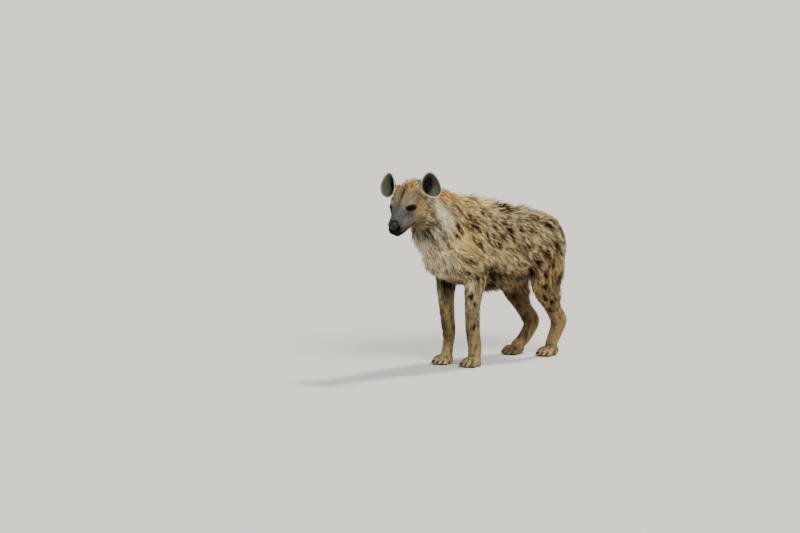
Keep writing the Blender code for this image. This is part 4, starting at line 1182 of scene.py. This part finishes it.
# Tufts by how many rings they have: where these stand, how wide they are, how far the clump pulls them
TUFT_SHARES = {3: (0.0, 0.34, 0.7), 2: (0.0, 0.48), 1: (0.0,)}
TUFT_WIDTHS = {3: (0.6, 1.0, 0.72), 2: (0.65, 1.0), 1: (1.0,)}
CLUMP_PULL = {3: (0.0, 0.25, 0.55, 0.85), 2: (0.0, 0.4, 0.85), 1: (0.0, 0.5)}
CLUMPS = {3: 0.1, 2: 0.075, 1: 0.12}  # for each tuft
# Triangles of a tuft with 0, 1, 2 and 3 rings
TUFT_TRIANGLES = np.array([0, 4, 10, 16])
# Hair longer than the first has three rings, and longer than the second two
MANE_COAT = 0.056
SHORT_COAT = 0.016
# Shares of the clumps and tufts that are dark
DARK_CLUMPS = 0.24
DARK_TUFTS = 0.1
PIECE_TRIANGLES = 190000
BAKE_PATCH = 0.003  # width of a tuft's patch in the skin's unwrapped square


def tuft_width(length):
    return np.clip(0.05 * length + 0.0008, 0.0009, 0.005)


def sample(points, faces, density, rng):
    """Evenly drawn places on a surface: triangle and barycentric shares of each."""
    corners = points[faces]
    area = np.linalg.norm(np.cross(corners[:, 1] - corners[:, 0], corners[:, 2] - corners[:, 0]), axis=1) / 2
    total = np.cumsum(area * density)
    count = int(total[-1])
    draws = (np.arange(count) + rng.random(count)) / count * total[-1]
    pick = np.minimum(np.searchsorted(total, draws), len(faces) - 1)
    r, s = np.sqrt(rng.random(count)), rng.random(count)
    shares = np.stack([1 - r, r * (1 - s), r * s], 1)
    return pick, shares


def follow(tree, places, lies):
    """The nearest skin to each place, its normal, and the lie turned to run along it."""
    found = np.empty((len(places), 6))
    for i, place in enumerate(places.tolist()):
        point, normal, _, _ = tree.find_nearest(place)
        found[i, :3] = point
        found[i, 3:] = normal
    normals = found[:, 3:]
    return found[:, :3], normals, unit(along_skin(lies, normals))


def clump_pull(roots, lies, spacing, rng):
    """For each root, the step to its nearest clump, square to its own lie, and the clump's number."""
    count = max(1, int(len(roots) * spacing))
    seeds = rng.choice(len(roots), count, replace=False)
    tree = KDTree(count)
    for k, index in enumerate(seeds.tolist()):
        tree.insert(roots[index], k)
    tree.balance()
    near = np.array([tree.find(root)[1] for root in roots.tolist()])
    return along_skin(roots[seeds[near]] - roots, lies), near


def tuft_mesh(rings, tips):
    """Triangles of closed three-sided tufts, from rings (count, sections, 3, 3) and tips (count, 3)."""
    count, sections = rings.shape[:2]
    stride = sections * 3 + 1
    points = np.concatenate([rings.reshape(count, -1, 3), tips[:, None]], 1).reshape(-1, 3)
    faces = [(0, 1, 2)]
    for s in range(sections - 1):
        for k in range(3):
            a, b = s * 3 + k, s * 3 + (k + 1) % 3
            faces += [(a, a + 3, b), (b, a + 3, b + 3)]
    last = (sections - 1) * 3
    for k in range(3):
        faces.append((last + k, stride - 1, last + (k + 1) % 3))
    faces = np.array(faces)
    return points, (faces[None] + (np.arange(count) * stride)[:, None, None]).reshape(-1, 3)


def finished(name, mesh, material, nodes):
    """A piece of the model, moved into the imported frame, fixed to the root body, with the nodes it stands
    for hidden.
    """
    mesh.transform(Matrix.Translation(SHIFT))
    obj = placed(mesh, name)
    mesh.materials.clear()
    mesh.materials.append(material)
    mesh.shade_smooth()
    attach(obj, "root")
    if nodes:
        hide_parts(*nodes)
    return obj


def add_colour(mesh, name, colours):
    full = np.ones((len(colours), 4))
    full[:, :3] = np.clip(colours, 0, 1)
    mesh.color_attributes.new(name, "FLOAT_COLOR", "POINT").data.foreach_set("color", flat(full))


def add_vector(mesh, name, vectors):
    mesh.attributes.new(name, "FLOAT_VECTOR", "POINT").data.foreach_set("vector", flat(vectors))


def mesh_from(points, faces):
    mesh = bpy.data.meshes.new("coat")
    mesh.vertices.add(len(points))
    mesh.vertices.foreach_set("co", flat(points))
    mesh.loops.add(faces.size)
    mesh.loops.foreach_set("vertex_index", flat(faces, np.int32))
    mesh.polygons.add(len(faces))
    mesh.polygons.foreach_set("loop_start", np.arange(0, faces.size, 3, dtype=np.int32))
    mesh.update(calc_edges=True)
    return mesh


def make_tufts(tree, fields, spots, rng, sections):
    """Points, faces, colours and strand coordinates of tufts with this many rings."""
    roots, normals = fields.points, fields.normals
    count = len(roots)
    length = coat_length(fields) * rng.uniform(0.75, 1.2, count)
    lift = coat_lift(fields, length) * rng.uniform(0.6, 1.35, count)
    width = tuft_width(length) * rng.uniform(0.8, 1.25, count)
    lies = unit(fields.lie + np.cross(normals, fields.lie) * rng.normal(0, 0.13, count)[:, None])
    pull, clump = clump_pull(roots, lies, CLUMPS[sections], rng)
    reach = np.linalg.norm(pull, axis=1)
    pull *= np.minimum(1, length * 0.3 / (reach + 1e-9))[:, None]
    clumps = clump.max() + 1
    lift = lift * rng.uniform(0.72, 1.35, clumps)[clump]

    steps, widths, pulls = TUFT_SHARES[sections], TUFT_WIDTHS[sections], CLUMP_PULL[sections]
    place, normal, lie = roots, normals, lies
    rings, centres, before = [], [], 0.0
    for i, step in enumerate(steps):
        if i:
            place, normal, lie = follow(tree, place + lie * (length * (step - before))[:, None], lie)
        before = step
        rise = lift * step * (1.6 - 0.6 * step) if i else np.full(count, -0.001)
        centre = place + normal * rise[:, None] + pull * pulls[i]
        across = unit(np.cross(normal, lie))
        half = (width * widths[i] / 2)[:, None]
        ridge = normal * (width * widths[i] * 0.34)[:, None]
        rings.append(np.stack([centre + across * half, centre + ridge, centre - across * half], 1))
        centres.append(centre)
    tip = place + lie * (length * (1 - before))[:, None] + normal * lift[:, None] + pull * pulls[-1]
    centres.append(tip)
    rings = np.stack(rings, 1)
    rings[..., 2] = np.maximum(rings[..., 2], 0.0004)
    tip[:, 2] = np.maximum(tip[:, 2], 0.0004)
    points, faces = tuft_mesh(rings, tip)

    long = smooth_step(length, 0.01, 0.036)
    slide = lies * (rng.normal(0, 0.005, count) * long)[:, None]
    dark = rng.random(clumps) < DARK_CLUMPS
    tone = rng.uniform(0.72, 1.32, clumps) * np.where(dark, 0.34, 1.0)
    streak = streaks(roots, lies)
    tone = tone[clump] * (1 - 0.8 * smooth_step(streak, 0.1, 0.62) + 0.36 * smooth_step(-streak, 0.1, 0.9))
    pale = smooth_step(coat_colour(fields, roots, spots).mean(1), 0.42, 0.75)
    tone = 1 + (tone - 1) * (0.55 + 0.45 * long) * (1 - 0.8 * pale)
    tone = tone * (1 + rng.uniform(-0.25, 0.29, count)) * np.where(rng.random(count) < DARK_TUFTS, 0.55, 1.0)
    shades = []
    for share, centre in zip((*steps, 1.0), centres):
        # Darker towards each tuft's root and paler at its tip: the hair's own dark bases and pale tips, with
        # painted shade deep in the coat
        ramp = 1 - (0.7 - 0.52 * pale) * long + (0.98 - 0.5 * pale) * long * share**0.9
        shades.append(coat_colour(fields, centre + slide, spots) * (ramp * tone)[:, None])
    ring_shades = np.repeat(np.stack(shades[:-1], 1), 3, 1)
    colours = np.concatenate([ring_shades, shades[-1][:, None]], 1).reshape(-1, 3)
    strand = np.zeros((count, sections * 3 + 1, 3))
    for i, step in enumerate(steps):
        strand[:, i * 3 : i * 3 + 3, 0] = np.array([-1.0, 0.0, 1.0])
        strand[:, i * 3 : i * 3 + 3, 1] = step
    strand[:, -1, 1] = 1.0
    strand[:, :, 2] = rng.uniform(0, 100, count)[:, None]
    return points, faces, colours, strand.reshape(-1, 3)


def bake_coordinates(root_uv, faces, stride):
    """For each corner, a place in a small patch at the tuft's root, along and across the tuft."""
    index = faces.ravel()
    tuft = index // stride
    inside = index % stride
    along = (inside // 3) / (stride // 3)
    across = np.where(inside == stride - 1, 0.5, (inside % 3) / 2)
    patch = np.stack([across, along], 1) * BAKE_PATCH - BAKE_PATCH / 2
    return np.clip(root_uv[tuft] + patch, 0.0005, 0.9995)


PIECE_OF = {
    TRUNK_ID: ("coat_body", "coat", ("torso",)),
    NECK_ID: ("coat_neck", "mane", ("neck",)),
    FORE_LEFT: ("coat_foreleg_left", "leg", ("forearm_left", "paw_fore_left")),
    FORE_RIGHT: ("coat_foreleg_right", "leg", ("forearm_right", "paw_fore_right")),
    HIND_LEFT: ("coat_hindleg_left", "leg", ("thigh_left", "shank_left", "paw_hind_left")),
    HIND_RIGHT: ("coat_hindleg_right", "leg", ("thigh_right", "shank_right", "paw_hind_right")),
    TAIL_ID: ("tail_brush", "tail_brush", ("tail",)),
    HEAD_ID: ("coat_head", "coat", ("head",)),
    EAR_LEFT: ("coat_ear_left", "ear", ("ear_left",)),
    EAR_RIGHT: ("coat_ear_right", "ear", ("ear_right",)),
}


def coat_density(fields):
    """Tufts per square metre at the middle of each triangle of the skin."""
    length = coat_length(fields)
    layers = np.interp(length, (0.004, 0.01, 0.02, 0.032, 0.05, 0.09), (1.2, 1.8, 3.0, 5.5, 8.5, 10.0))
    density = layers / (tuft_width(length) * length)
    hx, _, hz = fields.head.T
    bare = (hx > 0.112) | ((hx > 0.1) & (hz > 0.018))
    for side in (1, -1):
        bare |= np.linalg.norm(in_eye(fields.head, side) / np.array([0.018, 0.0135, 0.0095]), axis=1) < 1
    bare |= (np.abs(hz + 0.002) < 0.005) & (hx > 0.0)
    bare |= (fields.points[:, 2] < 0.006) & (fields.normals[:, 2] < -0.3)
    density[bare] = 0
    for which in (0, 1):
        inside = (fields.region == EAR_LEFT + which) & (fields.normals @ EARS[which][:3, 0] > 0.1)
        deep = ear_middle(fields.points, which) < 0.9
        density[inside & deep] *= 0.25
    return density * 1.0


def corner_values(mesh, name, picks, shares):
    """A UV map's value at places on the skin's triangles."""
    loops = gathered(mesh.loop_triangles, "loops", kind=np.int32)
    uv = gathered(mesh.uv_layers[name].data, "uv", 2)
    return (uv[loops[picks]] * shares[:, :, None]).sum(1)


def coat_piece(name, parts, nodes, material):
    """One piece of the coat from the tufts of several kinds."""
    points, faces, colours, strands, patches = zip(*parts)
    offsets = np.cumsum([0] + [len(part) for part in points])
    faces = np.concatenate([part + offset for part, offset in zip(faces, offsets)])
    mesh = mesh_from(np.concatenate(points), faces)
    add_colour(mesh, "coat_colour", np.concatenate(colours))
    add_vector(mesh, "strand", np.concatenate(strands))
    layer = mesh.uv_layers.new(name="OFBake")
    layer.data.foreach_set("uv", flat(np.concatenate(patches)))
    finished(name, mesh, material, nodes)
    return len(faces)


def build_coat(skin, tree, points):
    """Samples the skin and makes the coat's pieces, a region at a time."""
    rng = np.random.default_rng(21)
    material = coat_material()
    mesh = skin.data
    normals = vertex_normals(mesh)
    faces = triangles_of(mesh)
    density = coat_density(Fields(points[faces].mean(1), unit(normals[faces].mean(1))))
    picks, shares = sample(points, faces, density, rng)
    roots = (points[faces[picks]] * shares[:, :, None]).sum(1)
    root_normals = unit((normals[faces[picks]] * shares[:, :, None]).sum(1))
    root_uv = corner_values(mesh, "OFBake", picks, shares)
    fields = Fields(roots, root_normals)
    length = coat_length(fields)
    kinds = np.where(length > MANE_COAT, 3, np.where(length > SHORT_COAT, 2, 1))
    spots = all_spots()
    total = 0
    for region, (name, slot_name, nodes) in PIECE_OF.items():
        own = np.nonzero(fields.region == region)[0]
        own = own[np.argsort(roots[own, 0])]
        weight = TUFT_TRIANGLES[kinds[own]]
        pieces = max(1, math.ceil(weight.sum() / PIECE_TRIANGLES))
        group = (np.cumsum(weight) - 1) * pieces // max(1, weight.sum())
        for number in range(pieces):
            parts = []
            for sections in (3, 2, 1):
                part = own[(group == number) & (kinds[own] == sections)]
                if len(part) < 20:
                    continue
                made = make_tufts(tree, Fields(roots[part], root_normals[part]), spots, rng, sections)
                patch = bake_coordinates(root_uv[part], made[1], sections * 3 + 1)
                parts.append((*made, patch))
            label = name if pieces == 1 else f"{name}_{number + 1}"
            total += coat_piece(label, parts, nodes, material)
    print("coat tufts", len(roots), "triangles", total)


FAINT_SPOTS = 60


def all_spots():
    """The spots seen on the left and front, the same kind on the right, and faint small ones all over."""
    rng = np.random.default_rng(8)
    made = [(*spot, 1.0) for spot in SPOTS]
    for x, y, z, half in SPOTS:
        if y > 0.06 and rng.random() < 0.9:
            place = (x + rng.normal(0, 0.028), -y * rng.uniform(0.92, 1.04), z + rng.normal(0, 0.022))
            made.append((*place, half * rng.uniform(0.85, 1.15), 1.0))
    for _ in range(FAINT_SPOTS):
        x, turn = rng.uniform(-0.38, 0.4), rng.uniform(0.35, 1.9) * rng.choice((-1, 1))
        place = (x, 0.15 * math.sin(turn), 0.57 + 0.2 * math.cos(turn))
        made.append((*place, rng.uniform(0.007, 0.012), rng.uniform(0.35, 0.7)))
    return made


# Materials

# The skin's streaks: how many steps along the lie, and how far apart
STREAK_STEPS = 7
STREAK_STEP = 0.0009
LEATHER_COLOURS = ((0.009, 0.0088, 0.0095), (0.003, 0.003, 0.0035))
CLAW_COLOURS = ((0.014, 0.011, 0.008), (0.06, 0.046, 0.031))
PUPIL_COLOUR = (0.003, 0.002, 0.002)
IRIS_COLOUR = (0.01, 0.006, 0.003)
WHITE_COLOUR = (0.006, 0.005, 0.004)
WHISKER_COLOUR = (0.02, 0.018, 0.016)
FLOOR_COLOUR = (0.72, 0.7, 0.66)
SKY_COLOUR = (0.86, 0.88, 0.92)


def shader_of(name, roughness, specular):
    made = bpy.data.materials.new(name)
    made.use_nodes = True
    tree = made.node_tree
    shader = tree.nodes["Principled BSDF"]
    shader.inputs["Roughness"].default_value = roughness
    shader.inputs["Specular IOR Level"].default_value = specular
    return made, tree, shader


def attribute(tree, name):
    node = tree.nodes.new("ShaderNodeAttribute")
    node.attribute_name = name
    return node


def noise(tree, scale, detail, vector=None):
    node = tree.nodes.new("ShaderNodeTexNoise")
    node.inputs["Scale"].default_value = scale
    node.inputs["Detail"].default_value = detail
    node.inputs["Roughness"].default_value = 0.55
    if vector is None:
        vector = tree.nodes.new("ShaderNodeTexCoord").outputs["Object"]
    tree.links.new(vector, node.inputs["Vector"])
    return node


def math_node(tree, operation, *values):
    node = tree.nodes.new("ShaderNodeMath")
    node.operation = operation
    for slot_index, value in enumerate(values):
        if isinstance(value, (int, float)):
            node.inputs[slot_index].default_value = value
        else:
            tree.links.new(value, node.inputs[slot_index])
    return node.outputs[0]


def two_tone(tree, shader, factor, colours):
    """Base colour between two, by a factor from 0 to 1."""
    ramp = tree.nodes.new("ShaderNodeValToRGB")
    for element, colour in zip(ramp.color_ramp.elements, colours):
        element.color = (*colour, 1)
    tree.links.new(factor, ramp.inputs["Fac"])
    tree.links.new(ramp.outputs["Color"], shader.inputs["Base Color"])


def bump(tree, shader, height, distance, strength=1.0):
    node = tree.nodes.new("ShaderNodeBump")
    node.inputs["Distance"].default_value = distance
    node.inputs["Strength"].default_value = strength
    tree.links.new(height, node.inputs["Height"])
    tree.links.new(node.outputs["Normal"], shader.inputs["Normal"])


def streaked(tree, shader, hairs, gain, base, most, depth):
    """The coat's own colour and relief, varied by hairs. Its black parts shine less than the pale ones."""
    own = attribute(tree, "coat_colour")
    scaled = tree.nodes.new("ShaderNodeVectorMath")
    scaled.operation = "SCALE"
    tree.links.new(own.outputs["Color"], scaled.inputs[0])
    tree.links.new(math_node(tree, "MULTIPLY_ADD", hairs, gain, base), scaled.inputs["Scale"])
    tree.links.new(scaled.outputs[0], shader.inputs["Base Color"])
    light = math_node(tree, "MULTIPLY", own.outputs["Fac"], 3.0)
    light = math_node(tree, "MINIMUM", math_node(tree, "MAXIMUM", light, 0.03), most)
    tree.links.new(light, shader.inputs["Specular IOR Level"])
    bump(tree, shader, hairs, depth)


def coat_material():
    """Each tuft shows several strands: streaks along it, from its own coordinates."""
    made, tree, shader = shader_of("coat", 0.62, 0.28)
    strand = attribute(tree, "strand")
    stretch = tree.nodes.new("ShaderNodeMapping")
    stretch.inputs["Scale"].default_value = (2.2, 0.7, 1.0)
    tree.links.new(strand.outputs["Vector"], stretch.inputs["Vector"])
    strands = noise(tree, 1.6, 2.0, stretch.outputs["Vector"]).outputs["Fac"]
    streaked(tree, shader, strands, 0.9, 0.55, 0.28, 0.0006)
    return made


def skin_material():
    """Short hair close to the skin: fine streaks along the lie, from noise gathered along it."""
    made, tree, shader = shader_of("skin", 0.72, 0.25)
    lie = attribute(tree, "lie")
    place = tree.nodes.new("ShaderNodeTexCoord").outputs["Object"]
    total = None
    for k in range(STREAK_STEPS):
        shifted = tree.nodes.new("ShaderNodeVectorMath")
        shifted.operation = "MULTIPLY_ADD"
        tree.links.new(lie.outputs["Vector"], shifted.inputs[0])
        shifted.inputs[1].default_value = [k * STREAK_STEP] * 3
        tree.links.new(place, shifted.inputs[2])
        grain = noise(tree, 850, 1.0, shifted.outputs[0]).outputs["Fac"]
        total = grain if total is None else math_node(tree, "ADD", total, grain)
    hairs = math_node(tree, "MULTIPLY", total, 1 / STREAK_STEPS)
    streaked(tree, shader, hairs, 2.6, -0.35, 0.25, 0.0022)
    return made


def leather_material():
    """The nose's pebbled black leather."""
    made, tree, shader = shader_of("nose_leather", 0.38, 0.32)
    cells = tree.nodes.new("ShaderNodeTexVoronoi")
    cells.inputs["Scale"].default_value = 620
    tree.links.new(tree.nodes.new("ShaderNodeTexCoord").outputs["Object"], cells.inputs["Vector"])
    two_tone(tree, shader, cells.outputs["Distance"], LEATHER_COLOURS)
    bump(tree, shader, cells.outputs["Distance"], 0.0006, 0.8)
    return made


def eye_material():
    made, tree, shader = shader_of("eye", 0.05, 0.04)
    tree.links.new(attribute(tree, "iris").outputs["Color"], shader.inputs["Base Color"])
    return made


def claw_material():
    made, tree, shader = shader_of("claw", 0.42, 0.3)
    grain = noise(tree, 260, 2.0).outputs["Fac"]
    two_tone(tree, shader, grain, CLAW_COLOURS)
    bump(tree, shader, grain, 0.0003)
    return made


# Pieces


def build_skin(raw):
    body = sunk(body_flesh())
    head = sunk(moved(head_flesh(raw), TO_WORLD))
    mesh = combine(body, [head], "UNION")
    fields = Fields(coords(mesh), vertex_normals(mesh))
    colours = coat_colour(fields, fields.points, all_spots())
    colours = dark_details(fields, colours)
    # Darker skin under long hair: the hair's dark bases, and painted shade deep in the coat
    grow = smooth_step(coat_length(fields), 0.01, 0.04)
    add_colour(mesh, "coat_colour", colours * (1 - 0.55 * grow)[:, None])
    add_vector(mesh, "lie", fields.lie)
    nodes = ["torso", "neck", "head", "tail"]
    for _, word in SIDES:
        nodes += [f"{part}_{word}" for part in ("ear", "forearm", "thigh", "shank", "paw_fore", "paw_hind")]
    skin = finished("skin", mesh, skin_material(), nodes)
    unwrap(skin)
    return skin


def dark_details(fields, colours):
    """Black lids, lips and pads."""
    head = fields.head
    amount = np.zeros(len(colours))
    for side in (1, -1):
        lids = np.linalg.norm(in_eye(head, side) / np.array([0.02, 0.015, 0.011]), axis=1)
        amount = np.maximum(amount, smooth_step(lids, 1.15, 0.9))
    lips = np.exp(-(((head[:, 2] + 0.002) / 0.0055) ** 2)) * smooth_step(head[:, 0], -0.004, 0.008)
    nose = smooth_step(head[:, 0], 0.098, 0.106) * smooth_step(head[:, 2], 0.012, 0.02)
    pads = smooth_step(fields.points[:, 2], 0.01, 0.006)
    for part in (lips, nose, pads):
        amount = np.maximum(amount, part)
    return colours + (COLOURS["dark"] * 0.6 - colours) * amount[:, None]


def unwrap(obj):
    for other in bpy.context.view_layer.objects:
        other.select_set(False)
    bpy.context.view_layer.objects.active = obj
    obj.select_set(True)
    obj.data.uv_layers.new(name="OFBake")
    bpy.ops.object.mode_set(mode="EDIT")
    bpy.ops.mesh.select_all(action="SELECT")
    bpy.ops.uv.smart_project(angle_limit=math.radians(66), island_margin=0.002)
    bpy.ops.object.mode_set(mode="OBJECT")


def build_nose(raw):
    """The leather pad: the muzzle's end, a little proud of the skin, with a rounded outline."""
    mesh = raw.copy()
    set_coords(mesh, coords(mesh) + vertex_normals(mesh) * 0.0006)
    pad = combine(mesh, [ellipsoid((0.121, 0.0, 0.043), (0.021, 0.028, 0.022), sides=40)], "INTERSECT")
    groove = spindle([(0.131, 0, 0.052), (0.131, 0, 0.04), (0.127, 0, 0.018)], (0.0012, 0.002, 0.0016), 8)
    pad = combine(pad, [*nostril(1), *nostril(-1), groove], "DIFFERENCE")
    finished("nose_pad", moved(pad, TO_WORLD), leather_material(), ["nose"])


def build_eyes():
    """Dark eyes with a narrow brown iris and a darker white, each in bands round the way it looks."""
    material = eye_material()
    for side, word in SIDES:
        turn = eye_turn(side) @ Matrix.Rotation(math.radians(90), 4, "Y")
        ball = ellipsoid(eye_centre(side), [EYE_RADIUS] * 3, turn, sides=64)
        toward = unit(in_eye(coords(ball), side))[:, 0]
        angle = np.degrees(np.arccos(np.clip(toward, -1, 1)))
        iris = smooth_step(angle, 40, 36) * smooth_step(angle, 13, 17) * (0.5 + angle / 60)
        white = smooth_step(angle, 42, 50)
        colours = np.array(PUPIL_COLOUR) + np.outer(iris, IRIS_COLOUR) + np.outer(white, WHITE_COLOUR)
        add_colour(ball, "iris", colours)
        finished(f"eyeball_{word}", moved(ball, TO_WORLD), material, [f"eye_{word}"])


def claw_shape(x, y, reach, spread):
    start = Vector((x + TOE_FORWARD + reach + 0.001, y + spread, 0.0198))
    steps = ((0.0, 0.0), (0.006, -0.0002), (0.0115, -0.0018))
    steps += ((0.016, -0.0048), (0.019, -0.0085), (0.0208, -0.0118))
    points = [start + Vector((forward, 0.0, rise)) for forward, rise in steps]
    return spindle(points, (0.0038, 0.0046, 0.0046, 0.004, 0.0028, 0.0011))


def build_claws():
    material = claw_material()
    for side, word in SIDES:
        fore, hind = leg_rows(side)
        for limb, rows in (("fore", fore), ("hind", hind)):
            x, y = rows[-1][0] + PAW_FORWARD, rows[-1][1]
            mesh = joined([claw_shape(x, y + across, reach, spread) for across, reach, spread in TOES])
            nodes = [f"claw_{limb}_{word}_{number}" for number in (1, 2, 3, 4)]
            finished(f"claws_{limb}_{word}", outward(mesh), material, nodes)


WHISKER_ROWS = 3
WHISKERS_PER_ROW = 5


def build_whiskers(tree):
    """A few stiff dark hairs on the upper lip, in rows on each side."""
    rng = np.random.default_rng(31)
    turn = TO_WORLD.to_3x3()
    made = []
    for side in (1, -1):
        for row in range(WHISKER_ROWS):
            for k in range(WHISKERS_PER_ROW):
                start = Vector((0.052 + 0.01 * k + 0.003 * row, side * 0.2, 0.006 + 0.007 * row))
                hit, normal, _, _ = tree.ray_cast(TO_WORLD @ start, turn @ Vector((0, -side, 0)))
                if hit is None:
                    continue
                lie = (turn @ Vector((-0.55, 0.75 * side, rng.uniform(-0.35, 0.05)))).normalized()
                long = rng.uniform(0.03, 0.055)
                points = []
                for t in (0.0, 0.25, 0.5, 0.75, 1.0):
                    sag = Vector((0, 0, -0.25 * t * t * long))
                    points.append(hit - normal * 0.001 + lie * long * t + sag)
                made.append(spindle(points, (0.00042, 0.00038, 0.0003, 0.0002, 0.00008), sides=5))
    material, _, shader = shader_of("whisker", 0.45, 0.4)
    shader.inputs["Base Color"].default_value = (*WHISKER_COLOUR, 1)
    finished("whiskers", outward(joined(made)), material, ["head"])


# The room

CAMERA_TURN = math.radians(42)
CAMERA_RISE = math.radians(7)
CAMERA_DISTANCE = 60.0
FRAME_WIDTH = 3.976
AIM_RIGHT = -0.4826
AIM_UP = 0.4632
FLOOR_RADIUS = 160.0
SKY_STRENGTH = 0.55
# Each sun: direction towards it, strength, width in degrees, colour
SUNS = {
    "back": ((-0.65, 0.05, 0.95), 2.8, 10, (1.0, 0.95, 0.85)),
    "front": ((0.45, 1.0, 0.85), 3.1, 30, (1.0, 0.98, 0.95)),
}


def build_camera():
    level = Vector((math.cos(CAMERA_TURN), math.sin(CAMERA_TURN), 0.0))
    back = level * math.cos(CAMERA_RISE) + Vector((0.0, 0.0, math.sin(CAMERA_RISE)))
    right = Vector((-math.sin(CAMERA_TURN), math.cos(CAMERA_TURN), 0.0))
    up = back.cross(right)
    aim = right * AIM_RIGHT + up * AIM_UP + SHIFT
    camera = bpy.data.cameras.new("camera")
    camera.sensor_width = 36
    camera.lens = 36 * CAMERA_DISTANCE / FRAME_WIDTH
    camera.clip_end = 500
    obj = placed(camera, "camera")
    turn = Matrix((right, up, back)).transposed().to_4x4()
    obj.matrix_world = Matrix.Translation(aim + back * CAMERA_DISTANCE) @ turn
    bpy.context.scene.camera = obj


def sun_light(name, toward, strength, spread, colour):
    """Even light from one direction, with soft shadows."""
    light = bpy.data.lights.new(name, "SUN")
    light.energy = strength
    light.angle = math.radians(spread)
    light.color = colour
    placed(light, name).rotation_euler = Vector(toward).to_track_quat("Z", "Y").to_euler()


def build_room():
    bm = bmesh.new()
    bmesh.ops.create_circle(bm, cap_ends=True, segments=96, radius=FLOOR_RADIUS)
    floor = placed(mesh_of(bm, "floor"), "floor")
    material, _, shader = shader_of("floor", 0.9, 0.1)
    shader.inputs["Base Color"].default_value = (*FLOOR_COLOUR, 1)
    floor.data.materials.append(material)
    world = bpy.data.worlds.new("world")
    world.use_nodes = True
    sky = world.node_tree.nodes["Background"]
    sky.inputs["Color"].default_value = (*SKY_COLOUR, 1)
    sky.inputs["Strength"].default_value = SKY_STRENGTH
    bpy.context.scene.world = world
    for name, sun in SUNS.items():
        sun_light(name, *sun)


def build():
    raw = raw_head()
    nose_flesh = raw.copy()
    skin = build_skin(raw)
    points = coords(skin.data) - np.array(SHIFT)
    tree = BVHTree.FromPolygons(points.tolist(), triangles_of(skin.data).tolist())
    build_nose(nose_flesh)
    build_eyes()
    build_claws()
    build_whiskers(tree)
    build_coat(skin, tree, points)
    build_camera()
    build_room()


build()
